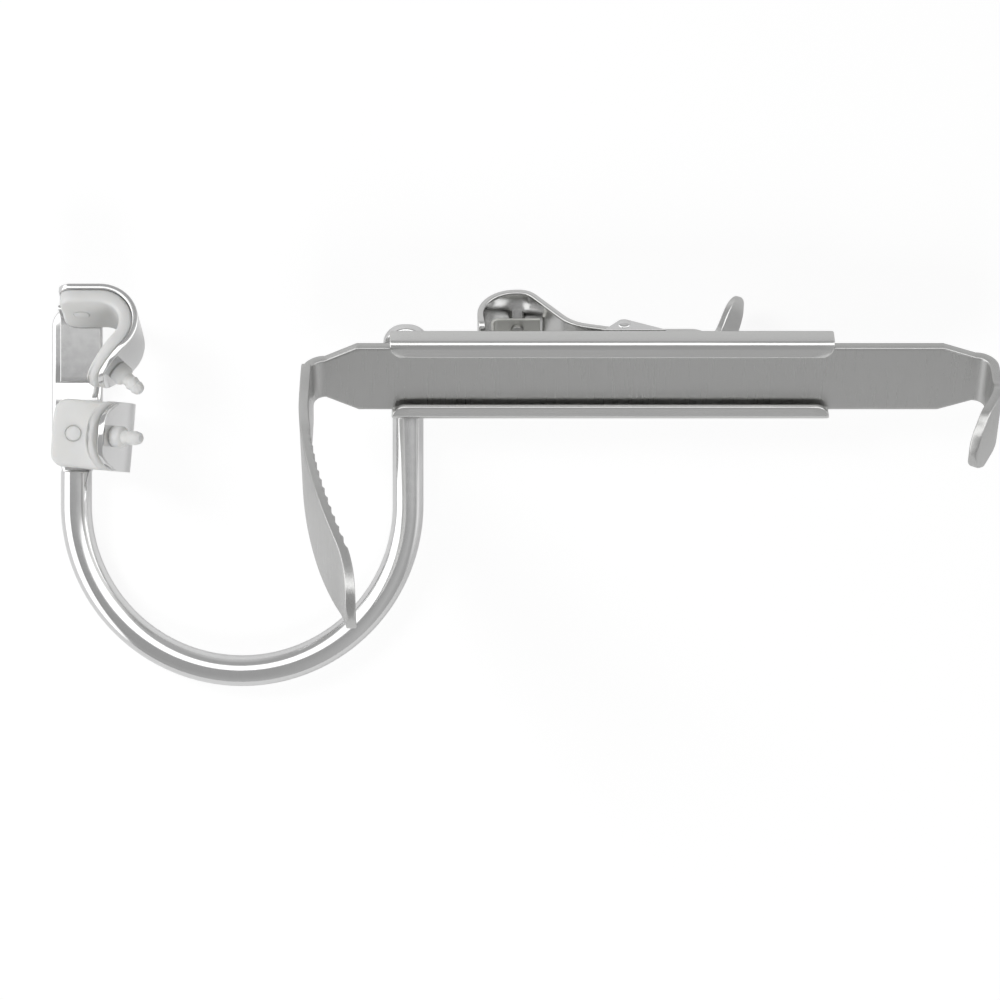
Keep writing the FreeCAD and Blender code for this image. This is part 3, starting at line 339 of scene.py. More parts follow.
def steel(name, colour, roughness, grain, turn, streak, bump):
    """Stainless steel. grain is the spacing of its marks in metres along x, y and z, turn
    tilts them about X, streak is how far they vary the roughness, bump how strong they are."""
    material = bpy.data.materials.new(name)
    tree = new_tree(material)
    place = add_node(tree, "ShaderNodeTexCoord").outputs["Object"]
    turned = add_node(tree, "ShaderNodeMapping", {
        "vector_type": "TEXTURE", "Rotation": (turn, 0, 0), "Scale": grain, "Vector": place})
    marks = noise(tree, turned.outputs["Vector"], 1.0, 3.0, 0.6)
    # Handling leaves broad soft patches, some 15 mm wide
    patches = noise(tree, place, 65.0, 2.0)
    rough = add_node(tree, "ShaderNodeMath", {
        "operation": "ADD",
        0: spread(tree, marks, 0.3, 0.7, roughness - streak, roughness + streak),
        1: spread(tree, patches, 0.35, 0.65, -0.008, 0.012)})
    surface = add_node(tree, "ShaderNodeBsdfPrincipled", {
        "Metallic": 1.0, "Roughness": rough.outputs["Value"],
        "Base Color": mix_colours(tree, marks, darker(colour, 0.94), tuple(colour)),
        "Normal": relief_of(tree, marks, bump)})
    add_node(tree, "ShaderNodeOutputMaterial", {"Surface": surface.outputs["BSDF"]})
    return material


def silicone(name, colour):
    """Milky silicone rubber, moulded: soft shine, light passes a few millimetres in."""
    material = bpy.data.materials.new(name)
    tree = new_tree(material)
    place = add_node(tree, "ShaderNodeTexCoord").outputs["Object"]
    # Clouds 5 mm wide in the rubber, and the mould's grain of 0.25 mm
    cloud, grain = noise(tree, place, 220.0, 2.0), noise(tree, place, 4000.0, 2.0)
    surface = add_node(tree, "ShaderNodeBsdfPrincipled", {
        "IOR": 1.41, "Subsurface Weight": 0.7, "Subsurface Scale": 2 * MM,
        "Subsurface Radius": (1.0, 0.95, 0.9), "Transmission Weight": 0.12,
        "Base Color": mix_colours(tree, cloud, darker(colour, 0.93), tuple(colour)),
        "Roughness": spread(tree, cloud, 0.0, 1.0, 0.28, 0.42),
        "Normal": relief_of(tree, grain, 0.12)})
    add_node(tree, "ShaderNodeOutputMaterial", {"Surface": surface.outputs["BSDF"]})
    return material


# Kinds of steel: colour, roughness, spacing of the marks along x, y and z in millimetres,
# whether they lean with the rail, and their streak and bump
STEELS = {
    # Polished bright by hand: marks too fine to see, soft waves some 1.6 mm wide
    "polished_stainless": ("polished", 0.13, (1.6, 1.6, 1.6), False, 0.012, 0.02),
    # Belt-brushed along the rail, drawn 0.15 mm apart so that it shows
    "brushed_stainless": ("sheet", 0.19, (20, 0.15, 0.15), True, 0.05, 0.2),
    # Ground across the bar, marks drawn 0.16 mm apart
    "cross_ground_stainless": ("satin", 0.33, (0.16, 12, 0.16), True, 0.08, 0.3),
    # Hardened and ground flat, greyer than the sheet
    "ground_hard_steel": ("hard", 0.42, (0.2, 4, 0.2), True, 0.06, 0.2),
    # Cold-rolled strip, dull, with marks along its length
    "rolled_spring_steel": ("spring", 0.5, (6, 0.2, 0.2), True, 0.05, 0.15),
}


def finish_of(kind):
    """The material of one kind, made once."""
    if kind in bpy.data.materials:
        return bpy.data.materials[kind]
    colours = bpy.context.scene.gag_finish
    if kind == "moulded_silicone":
        return silicone(kind, colours.silicone)
    colour, roughness, grain, leans, streak, bump = STEELS[kind]
    turn = bpy.context.scene.gag_rail.tilt if leans else 0
    return steel(kind, getattr(colours, colour), roughness, [g * MM for g in grain], turn,
                 streak, bump)


class Track:
    """Centreline of straights (length, 0) and bends (radius, angle), positive to the left."""

    def __init__(self, start, heading, moves):
        self.legs = []
        point, turned, run = Vector(start), heading, 0.0
        for amount, turn in moves:
            span = amount * abs(turn) if turn else amount
            self.legs.append((run, span, point.copy(), turned, amount, turn))
            point, turned = self.place(self.legs[-1], span)
            run += span
        self.length = run

    def place(self, leg, along):
        _, span, point, heading, amount, turn = leg
        if not turn:
            return point + Vector((math.cos(heading), math.sin(heading))) * along, heading
        sign = 1 if turn > 0 else -1
        later = heading + turn * along / span
        centre = point + Vector((-math.sin(heading), math.cos(heading))) * amount * sign
        return centre - Vector((-math.sin(later), math.cos(later))) * amount * sign, later

    def at(self, run):
        """Point and heading after this much of the centreline."""
        for leg in self.legs:
            if run <= leg[0] + leg[1] or leg is self.legs[-1]:
                return self.place(leg, run - leg[0])

    def runs(self, step, first=0.0, last=0.0, marks=()):
        """Where to put sections: dense in the rounded ends, at marks and where legs meet."""
        found = [leg[0] for leg in self.legs] + list(marks) + [0.0, self.length]
        for k in range(ROUND_STEPS + 1):
            found += [first * closing(k), self.length - last * closing(k)]
        for leg in self.legs:
            fine = min(step, leg[4] * BEND_STEP) if leg[5] else step
            count = max(1, math.ceil(leg[1] / fine))
            found += [leg[0] + leg[1] * k / count for k in range(count)]
        found = sorted(r for r in found if 0 <= r <= self.length)
        kept = [found[0]]
        for r in found[1:]:
            if r - kept[-1] > SAME_PLACE:
                kept.append(r)
        kept[-1] = self.length
        return kept


def steps(count):
    """Shares of a whole after each of its equal steps."""
    return [k / count for k in range(1, count + 1)]


def ease(share):
    """A share that starts and ends softly."""
    return share * share * (3 - 2 * share)


def closing(k):
    """Share of a rounded end that lies beyond its section k, dense at the tip."""
    return 1 - math.cos(QUARTER * k / ROUND_STEPS)


def rounded_drop(distance, radius):
    """How much narrower a rounded end is at this distance from its end."""
    if distance >= radius:
        return 0.0
    return radius - math.sqrt(max(radius * radius - (radius - distance) ** 2, 0.0))


def section(half_width, half_thick, edge):
    """Rounded rectangle as (across, through) points, its long sides split."""
    r = min(edge, 0.9 * half_width, 0.9 * half_thick)
    w, t = half_width - r, half_thick - r
    corners = [(w, t), (-w, t), (-w, -t), (w, -t)]

    def rim(k, turn):
        x, y = corners[k % 4]
        return x + r * math.cos(turn), y + r * math.sin(turn)

    points = []
    for k in range(4):
        points += [rim(k, QUARTER * (k + j / RING_ARC)) for j in range(RING_ARC + 1)]
        start, stop = [Vector(rim(side, QUARTER * (k + 1))) for side in (k, k + 1)]
        points += [tuple(start.lerp(stop, c)) for c in (SIDE_CUTS if k % 2 == 0 else (0.5,))]
    return points


def skin(name, rings):
    """Closed mesh through rings of points, capped at both ends."""
    bm = bmesh.new()
    rows = [[bm.verts.new(p) for p in ring] for ring in rings]
    count = len(rows[0])
    for low, high in zip(rows, rows[1:]):
        for k in range(count):
            bm.faces.new((low[k], low[(k + 1) % count], high[(k + 1) % count], high[k]))
    bm.faces.new(rows[0])
    bm.faces.new(list(reversed(rows[-1])))
    bmesh.ops.recalc_face_normals(bm, faces=bm.faces)
    return finish_mesh(name, bm)


def finish_mesh(name, bm, sharp=SMOOTH):
    """Object from a bmesh, smooth where faces meet at less than sharp degrees."""
    mesh = bpy.data.meshes.new(name)
    bm.to_mesh(mesh)
    bm.free()
    mesh.polygons.foreach_set("use_smooth", [True] * len(mesh.polygons))
    mesh.set_sharp_from_angle(angle=math.radians(sharp))
    piece = bpy.data.objects.new(name, mesh)
    bpy.context.scene.collection.objects.link(piece)
    return piece


def band(track, place, runs, half_width, half_thick, edge, relief=None, side=1):
    """Rings of a bent strip, shaped by half_width(run, point), half_thick(run) and
    relief(run). Its front is on the left of the run, or on the right where side is -1."""
    rings = []
    for run in runs:
        point, heading = track.at(run)
        normal = Vector((-math.sin(heading), math.cos(heading))) * side
        ring = []
        for u, t in section(half_width(run, point), half_thick(run), edge):
            if relief and t > 0:
                t -= relief(run)
            spot = point + normal * t
            ring.append(place @ Vector((spot.x, spot.y, u)))
        rings.append(ring)
    return rings


def strip(name, track, place, half_width, thick, edge, ends=(0.0, 0.0), step=1.2 * MM,
          relief=None):
    """Bent strip of one thickness with rounded edges."""
    def wide(run, point):
        return max(half_width(run, point), SLIVER)

    def half_thick(run):
        return thick / 2 - rounded_drop(min(run, track.length - run), edge)

    runs = track.runs(step, ends[0] or edge, ends[1] or edge)
    return skin(name, band(track, place, runs, wide, half_thick, edge, relief))


def lathe(name, outline, start, direction, around=TURNED):
    """Turned piece: outline holds (radius, height) points from the axis back to the axis."""
    turn = Z_AXIS.rotation_difference(Vector(direction)).to_matrix().to_4x4()
    place = Matrix.Translation(start) @ turn
    bm = bmesh.new()
    rows = []
    for radius, height in outline:
        turns = [2 * math.pi * k / around for k in range(around)] if radius > 0 else [0.0]
        rows.append([bm.verts.new(place @ Vector((radius * math.cos(a), radius * math.sin(a),
                                                  height))) for a in turns])
    for low, high in zip(rows, rows[1:]):
        for k in range(around):
            after = (k + 1) % around
            face = [low[k % len(low)], low[after % len(low)], high[after % len(high)],
                    high[k % len(high)]]
            bm.faces.new(list(dict.fromkeys(face)))
    bmesh.ops.recalc_face_normals(bm, faces=bm.faces)
    return finish_mesh(name, bm)


def dome(radius, base, rise, count):
    """Quarter of an ellipse from its rim in to the axis, for a lathe's outline."""
    turns = [QUARTER * k / count for k in range(count)]
    return [(radius * math.cos(a), base + rise * math.sin(a)) for a in turns] + [(0, base + rise)]


def dress(name, node, bevel):
    """Copy of a small CAD node with its doubles merged and its edges rounded."""
    bm = bmesh.new()
    bm.from_mesh(bpy.data.objects[node].data)
    bmesh.ops.remove_doubles(bm, verts=bm.verts, dist=WELD)
    bmesh.ops.dissolve_limit(bm, angle_limit=math.radians(1), verts=bm.verts, edges=bm.edges)
    piece = finish_mesh(name, bm, SMOOTH_CAD)
    rounding = piece.modifiers.new("Rounded edges", "BEVEL")
    rounding.width = bevel
    rounding.segments = 3
    rounding.limit_method = "ANGLE"
    rounding.angle_limit = math.radians(SMOOTH_CAD)
    return piece


def join(name, pieces):
    """One mesh from several, in place."""
    bm = bmesh.new()
    for piece in pieces:
        bm.from_mesh(piece.data)
        bpy.data.objects.remove(piece)
    return finish_mesh(name, bm)


def coat(piece, slot, kind, *nodes):
    """Gives a piece its material and hides the CAD nodes that it replaces. slot is not used."""
    piece.data.materials.clear()
    piece.data.materials.append(finish_of(kind))
    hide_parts(*nodes)


def settle(piece, body, slot, kind, *nodes):
    """Coats a piece and lets it ride on its body."""
    coat(piece, slot, kind, *nodes)
    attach(piece, body)


def apply(piece, modifier):
    """Keeps the plain mesh that a modifier gives, without the modifier."""
    bpy.context.view_layer.update()
    ready = piece.evaluated_get(bpy.context.evaluated_depsgraph_get())
    mesh = bpy.data.meshes.new_from_object(ready)
    piece.modifiers.remove(modifier)
    piece.data = mesh


def bake(piece, tree, inputs):
    """Runs a geometry tree on a piece and keeps the plain mesh that it gives."""
    modifier = piece.modifiers.new("Pattern", "NODES")
    modifier.node_group = tree
    named = {s.name: s.identifier for s in tree.interface.items_tree
             if s.item_type == "SOCKET" and s.in_out == "INPUT"}
    for key, value in inputs.items():
        modifier[named[key]] = value
    apply(piece, modifier)


def combine(piece, tool, operation):
    """Cuts a tool out of a piece or adds it, and removes the tool."""
    cut = piece.modifiers.new("Combine", "BOOLEAN")
    cut.object = tool
    cut.operation = operation
    cut.solver = "EXACT"
    apply(piece, cut)
    bpy.data.objects.remove(tool)


def rail_frame():
    """Frame of the rail's front middle: x along it, y across it, z out of it."""
    rail = bpy.context.scene.gag_rail
    low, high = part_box("guide_rail")
    turn = Matrix.Rotation(rail.tilt, 4, "X")
    out = turn @ Z_AXIS
    return Matrix.Translation((low + high) / 2 + out * rail.depth / 2) @ turn


def bar_middle():
    """Depth of the tongue bar's middle plane behind the rail's front."""
    rail, bar = bpy.context.scene.gag_rail, bpy.context.scene.gag_bar
    return rail.depth - rail.sheet - BAR_CLEAR - bar.thick / 2


def smooth_between(levels, x, last_slope):
    """Smooth curve through (x, y) points in rising order of x, which ends at last_slope."""
    if x <= levels[0][0]:
        return levels[0][1]
    for k in range(len(levels) - 1):
        (x1, y1), (x2, y2) = levels[k], levels[k + 1]
        if x > x2:
            continue
        before = levels[max(k - 1, 0)]
        after = levels[min(k + 2, len(levels) - 1)]
        # No slope beside a flat stretch, so that the curve never swings past it
        level1 = before[1] == y1 or y1 == y2
        level2 = y1 == y2 or y2 == after[1]
        slope1 = 0.0 if level1 else (y2 - before[1]) / (x2 - before[0])
        slope2 = 0.0 if level2 else (after[1] - y1) / (after[0] - x1)
        if after == levels[k + 1]:
            slope2 = last_slope
        span = x2 - x1
        t = (x - x1) / span
        return ((2 * t ** 3 - 3 * t ** 2 + 1) * y1 + (t ** 3 - 2 * t ** 2 + t) * span * slope1
                + (3 * t ** 2 - 2 * t ** 3) * y2 + (t ** 3 - t ** 2) * span * slope2)
    return levels[-1][1]


class GAG_OT_frame_rod(bpy.types.Operator):
    """Build the bent rod with its flat paddle and foot"""
    bl_idname = "gag.frame_rod"
    bl_label = "Frame Rod"

    AROUND = 56  # points round a section
    # A section is round at flat 0. The paddle has 1, and the foot is pressed squarer
    SQUARER, FOOT_FLAT = 1.4, 2.0
    END_THINS = 0.6  # part of the rounding that a flattened end's thickness follows
    FOOT_TIP = 0.05 * MM  # half width that is left at the foot's end
    HOLLOW_REACH = 3 * MM  # the paddle's hollow starts this far under the front plate

    def execute(self, context):
        rings = []
        for centre, across, upward, wide, thick, flat in (self.paddle(context)
                                                          + self.bow_and_foot(context)):
            # A flattened rod keeps soft sides: a superellipse between circle and slab
            power = 2 / (2 + self.SQUARER * flat)
            ring = []
            for j in range(self.AROUND):
                a = 2 * math.pi * (j + 0.5) / self.AROUND
                c, s = math.cos(a), math.sin(a)
                u = math.copysign(abs(c) ** power, c) * wide
                t = math.copysign(abs(s) ** power, s) * thick
                ring.append(centre + across * u + upward * t)
            rings.append(ring)
        piece = skin("bent_rod", rings)
        settle(piece, "frame", "polished_rod", "polished_stainless", "frame_rod")
        return {"FINISHED"}

    def paddle(self, context):
        """Sections of the paddle from its free end, of its taper and of its step."""
        rod, plates = context.scene.gag_rod, context.scene.gag_plate
        radius, half, flat_half = rod.diameter / 2, rod.paddle_width / 2, rod.paddle_thick / 2
        low = -rod.paddle_low
        end = low + rod.paddle_length
        corner = rod.paddle_corner
        found = []

        def put(y, height, wide, thick, flat=1.0):
            found.append((Vector((0, y, height)), X_AXIS, Z_AXIS, wide, thick, flat))

        for k in range(ROUND_STEPS + 1):
            gone = corner * closing(k)
            put(end - gone, flat_half, half - rounded_drop(gone, corner),
                flat_half - rounded_drop(gone, flat_half) * self.END_THINS)
        # A shallow hollow faces up the paddle between the two plates
        deep, lower = plates.base_low, -plates.side_top
        upper = deep + self.HOLLOW_REACH
        for share in steps(36):
            y = end - corner - (rod.paddle_length - corner) * share
            dip = max(min((upper - y) / (upper - deep), (y - lower) / (deep - lower)), 0.0)
            thick = (rod.paddle_thick - rod.paddle_dip * dip) / 2
            put(y, thick, half, thick)
        for share in steps(8):
            put(low - rod.paddle_taper * share, flat_half, half + (radius - half) * ease(share),
                flat_half)
        for share in steps(10):
            thick = flat_half + (radius - flat_half) * ease(share)
            put(low - rod.paddle_taper - rod.paddle_step * share, thick, radius, thick,
                1 - ease(share))
        return found

    def bow_and_foot(self, context):
        """Sections of the bow, the right leg, the lift bend, the neck and the foot."""
        rod, rail = context.scene.gag_rod, context.scene.gag_rail
        radius, right = rod.diameter / 2, 2 * rod.bow_radius
        middle = rail_frame()
        out = (middle.to_3x3() @ Z_AXIS).normalized()
        along = (middle.to_3x3() @ Y_AXIS).normalized()
        front = Vector((right, middle.translation.y, middle.translation.z))
        on_back = front - out * (rail.depth + radius)
        corner = on_back - along * ((on_back.z - radius) / math.sin(rail.tilt))
        tangent = rod.bend_radius * math.tan(rail.tilt / 2)
        found = []

        def put(centre, across, upward=Z_AXIS, wide=radius, thick=radius, flat=0.0):
            found.append((centre, across, upward, wide, thick, flat))

        put(Vector((0, -rod.leg, radius)), X_AXIS)
        for share in steps(96):
            across = Vector((math.cos(math.pi * share), math.sin(math.pi * share), 0))
            put(Vector((rod.bow_radius, -rod.leg, radius)) - across * rod.bow_radius, across)
        turned = -X_AXIS
        for share in steps(8):
            y = -rod.leg + (corner.y - tangent + rod.leg) * share
            put(Vector((right, y, radius)), turned)
        pivot = Vector((right, corner.y - tangent, radius + rod.bend_radius))
        for share in steps(16):
            up = Vector((0, -math.sin(rail.tilt * share), math.cos(rail.tilt * share)))
            put(pivot - up * rod.bend_radius, turned, up)
        start = (corner + along * tangent - front).dot(along)
        foot_wide, foot_half = rod.foot_width / 2, rod.foot_thick / 2
        for share in steps(12):
            wide = radius + (foot_wide - radius) * ease(share)
            thick = radius + (foot_half - radius) * ease(share)
            centre = front - out * (rail.depth + thick) + along * (start + rod.neck * share)
            put(centre, turned, out, wide, thick, self.FOOT_FLAT * ease(share))
        start += rod.neck
        top = rail.height / 2 - rod.foot_drop
        behind = front - out * (rail.depth + foot_half)
        for share in steps(4):
            put(behind + along * (start + (top - foot_wide - start) * share), turned, out,
                foot_wide, foot_half, self.FOOT_FLAT)
        for k in reversed(range(ROUND_STEPS)):
            gone = foot_wide * closing(k)
            put(behind + along * (top - gone), turned, out,
                max(foot_wide - rounded_drop(gone, foot_wide), self.FOOT_TIP),
                foot_half - rounded_drop(gone, foot_half) * self.END_THINS, self.FOOT_FLAT)
        return found


class GAG_OT_guide_rail(bpy.types.Operator):
    """Build the C-shaped guide rail with its pawl window"""
    bl_idname = "gag.guide_rail"
    bl_label = "Guide Rail"

    def execute(self, context):
        rail = context.scene.gag_rail
        middle = rail.sheet / 2
        lip = rail.height / 2 - rail.gap / 2 - rail.bend
        turn, wall = (rail.bend - middle, QUARTER), (rail.depth - 2 * rail.bend, 0)
        back = (rail.height - 2 * rail.bend, 0)
        # Profile seen along the rail, from the lower lip's edge round to the upper lip's
        track = Track((-rail.gap / 2, -middle), math.pi,
                      [(lip, 0), turn, wall, turn, back, turn, wall, turn, (lip, 0)])
        corner = rail.lip_round

        def wide(run, point):
            return rail.length / 2 - rounded_drop(min(run, track.length - run), corner)

        piece = strip("brushed_rail", track, rail_frame() @ END_VIEW, wide, rail.sheet,
                      rail.edge, (corner, corner), 1.5 * MM)
        cut_window(context, piece)
        settle(piece, "frame", "brushed_sheet", "brushed_stainless", "guide_rail")
        return {"FINISHED"}


def cut_window(context, piece):
    """Cuts the opening for the pawl through the rail's back."""
    rail, lever = context.scene.gag_rail, context.scene.gag_lever
    bm = bmesh.new()
    bmesh.ops.create_cube(bm, size=1.0)
    bmesh.ops.scale(bm, vec=(WINDOW_LONG, WINDOW_HIGH, 4 * rail.sheet), verts=bm.verts)
    upright = [e for e in bm.edges if abs(e.verts[0].co.z - e.verts[1].co.z) > rail.sheet]
    bmesh.ops.bevel(bm, geom=upright, offset=WINDOW_CORNER, segments=4, profile=0.5,
                    affect="EDGES")
    centre = Vector((WINDOW_ALONG, lever.shift, -rail.depth + rail.sheet / 2))
    bmesh.ops.transform(bm, matrix=rail_frame() @ Matrix.Translation(centre), verts=bm.verts)
    combine(piece, finish_mesh("window_tool", bm), "DIFFERENCE")


def notch_tree():
    """Geometry tree that cuts a row of saw-toothed notches into a bar."""
    tree = bpy.data.node_groups.new("Ratchet notches", "GeometryNodeTree")
    for label, way, kind in (
            ("Geometry", "INPUT", "Geometry"), ("Count", "INPUT", "Int"),
            ("Start", "INPUT", "Vector"), ("Step", "INPUT", "Vector"),
            ("Notch", "INPUT", "Object"), ("Finish", "INPUT", "Material"),
            ("Geometry", "OUTPUT", "Geometry")):
        tree.interface.new_socket(label, in_out=way, socket_type="NodeSocket" + kind)
    given = add_node(tree, "NodeGroupInput").outputs
    row = add_node(tree, "GeometryNodeMeshLine", {
        "mode": "OFFSET", "Count": given["Count"], "Start Location": given["Start"],
        "Offset": given["Step"]})
    shape = add_node(tree, "GeometryNodeObjectInfo", {"Object": given["Notch"]})
    copies = add_node(tree, "GeometryNodeInstanceOnPoints", {
        "Points": row.outputs["Mesh"], "Instance": shape.outputs["Geometry"]})
    real = add_node(tree, "GeometryNodeRealizeInstances", {
        "Geometry": copies.outputs["Instances"]})
    cut = add_node(tree, "GeometryNodeMeshBoolean", {
        "operation": "DIFFERENCE", "solver": "EXACT", "Mesh 1": given["Geometry"],
        "Mesh 2": real.outputs["Geometry"]})
    coated = add_node(tree, "GeometryNodeSetMaterial", {
        "Geometry": cut.outputs["Mesh"], "Material": given["Finish"]})
    add_node(tree, "NodeGroupOutput", {"Geometry": coated.outputs["Geometry"]})
    return tree


class GAG_OT_tongue_bar(bpy.types.Operator):
    """Build the sliding bar with its two blades, grip ridges and ratchet teeth"""
    bl_idname = "gag.tongue_bar"
    bl_label = "Tongue Bar"

    # Outlines of the blades: part of the length, and millimetres that a side is narrower there
    LONG = [(0.034, 3.1), (0.19, 2.6), (0.28, 0.9), (0.36, 0.0), (0.62, 0.0), (0.72, 0.5),
            (0.81, 1.4), (0.88, 2.7), (0.95, 4.8)]
    SHORT = [(0.44, 0.0), (0.74, 0.0), (0.86, 1.6)]
    ROOT_FLARE = 0.57  # half width of the long blade at its root bend, per neck
    GROOVE = 2.6 * MM  # radius of the grooves between ridges
    STEP, TIP_RUN = 0.8 * MM, 7 * MM  # between sections, which are denser in a tip
    TIP_HALF = 0.03 * MM  # half width that is left at a blade's tip
    # A little air before a tooth's steep wall, so that the pawl swings in freely
    WALL_CLEAR = 0.1 * MM

    def execute(self, context):
        bar = context.scene.gag_bar
        depth = bar_middle()
        bend = bar.root_bend
        root_top = bend - depth
        flats = [end - bar.thick / 2 - bend for end in (bar.left_end, bar.right_end)]
        curve_top = bar.blade_root + bar.blade_bend * math.sin(bar.blade_sweep)
        # The tip turns back until it is square to the rail again
        tip_bend = (bar.blade_length - curve_top) / math.sin(bar.blade_sweep)
        lean_top = bar.short_root + bar.short_bend * math.sin(bar.short_sweep)
        left = Track((0, -depth), math.pi, [
            (flats[0], 0), (bend, -QUARTER), (bar.blade_root - root_top, 0),
            (bar.blade_bend, -bar.blade_sweep), (tip_bend, bar.blade_sweep)])
        right = Track((0, -depth), 0, [
            (flats[1], 0), (bend, QUARTER), (bar.short_root - root_top, 0),
            (bar.short_bend, bar.short_sweep),
            ((bar.short_length - lean_top) / math.cos(bar.short_sweep), 0)])

        def width_of(neck, full_end, neck_at, blade_half, blade_length, root, outline):
            levels = [(-depth, neck / 2), root]
            levels += [(part * blade_length, blade_half - drop * MM) for part, drop in outline]
            shoulder, crown_half = levels[-1]
            crown = blade_length - shoulder
            radius = (crown_half ** 2 + crown ** 2) / (2 * crown)
            crown_slope = (crown - radius) / crown_half

            def wide(run, point):
                along, out = abs(point.x), point.y
                if along <= neck_at and out < root_top:
                    part = min(max((along - full_end) / (neck_at - full_end), 0.0), 1.0)
                    return bar.height / 2 + (neck / 2 - bar.height / 2) * part
                if out > shoulder:
                    low = out - (blade_length - radius)
                    return max(math.sqrt(max(radius ** 2 - low ** 2, 0.0)), self.TIP_HALF)
                return smooth_between(levels, out, crown_slope)
            return wide

        wide_left = width_of(bar.left_neck, bar.left_full, flats[0], bar.blade_width / 2,
                             bar.blade_length, (root_top, self.ROOT_FLARE * bar.left_neck),
                             self.LONG)
        wide_right = width_of(bar.right_neck, bar.right_full, flats[1], bar.short_width / 2,
                              bar.short_length, (bar.short_root, bar.right_neck / 2), self.SHORT)
        curve_start = left.legs[3][0]

        def ridges(run):
            nearest = (run - curve_start - bar.ridge_start) / bar.ridge_pitch
            number = min(max(round(nearest), 0), bar.ridge_count - 1)
            away = (nearest - number) * bar.ridge_pitch
            if abs(away) >= self.GROOVE or run < curve_start:
                return 0.0
            high = math.sqrt(self.GROOVE ** 2 - away ** 2)
            return max(high - (self.GROOVE - bar.ridge_depth), 0.0)

        first = curve_start + bar.ridge_start - bar.ridge_pitch / 2
        marks = [first + bar.ridge_pitch * k / 10 for k in range(10 * bar.ridge_count + 1)]
        place = rail_frame() @ Matrix.Translation((0, -bar.shift, 0)) @ SIDE_VIEW
        halves = []
        for track, wide, more, relief, side in (
                (left, wide_left, marks + [bar.left_full], ridges, -1),
                (right, wide_right, [bar.right_full], None, 1)):
            def half_thick(run):
                return bar.thick / 2 - rounded_drop(track.length - run, bar.edge * 2)

            runs = track.runs(self.STEP, 0.0, self.TIP_RUN, more)
            halves.append(band(track, place, runs, wide, half_thick, bar.edge, relief, side))
        piece = skin("tongue_bar_steel", halves[0][::-1] + halves[1][1:])
        self.cut_notches(context, piece)
        settle(piece, "bar", "satin_bar", "cross_ground_stainless", "tongue_bar")
        return {"FINISHED"}

    def cut_notches(self, context, piece):
        """Cuts the ratchet teeth into the bar's back."""
        bar, lever = context.scene.gag_bar, context.scene.gag_lever
        back = -bar_middle() - bar.thick / 2
        rail = rail_frame()
        low = back - bar.tooth_depth
        outline = [(self.WALL_CLEAR, low), (self.WALL_CLEAR, back + bar.tooth_depth),
                   (-bar.tooth_flank, back), (-bar.tooth_flank, low)]
        rings = [[rail.to_3x3() @ Vector((x, lever.shift + side * bar.tooth_row / 2, z))
                  for x, z in outline] for side in (-1, 1)]
        notch = skin("notch_tool", rings)
        bake(piece, notch_tree(), {
            "Count": bar.tooth_count, "Notch": notch,
            "Start": tuple(rail @ Vector((-bar.tooth_start, 0, 0))),
            "Step": (bar.tooth_pitch, 0, 0), "Finish": finish_of("cross_ground_stainless")})
        bpy.data.objects.remove(notch)


def lever_track(lever, rail):
    """Centreline of the lever, from its loop's free end to the thumb tab's tip."""
    moves = [(lever.loop_flat, 0), (lever.loop_turn, lever.loop_rise), (lever.loop_slope, 0),
             (lever.shoulder_radius, lever.arm_slope - lever.loop_rise),
             (lever.shoulder_length, 0), (lever.arm_radius, -lever.arm_slope),
             (lever.arm_length, 0)]
    rest = Track((0, 0), 0, moves)
    reach, _ = rest.at(rest.length)
    left = lever.arm_end - reach.x
    depth = rail.depth + lever.arm_gap + lever.thick / 2 + reach.y
    end_depth = rail.depth + lever.loop_gap
    sweep, radius = lever.loop_sweep, lever.loop_radius
    free = (depth - radius * (1 - math.cos(sweep)) - end_depth) / math.sin(sweep)
    start = (left - radius * math.sin(sweep) - free * math.cos(sweep), -end_depth)
    moves = [(free, 0), (radius, sweep)] + moves
    moves += [(lever.tab_radius, -lever.tab_lean), (lever.tab_length, 0)]
    return Track(start, -sweep, moves)


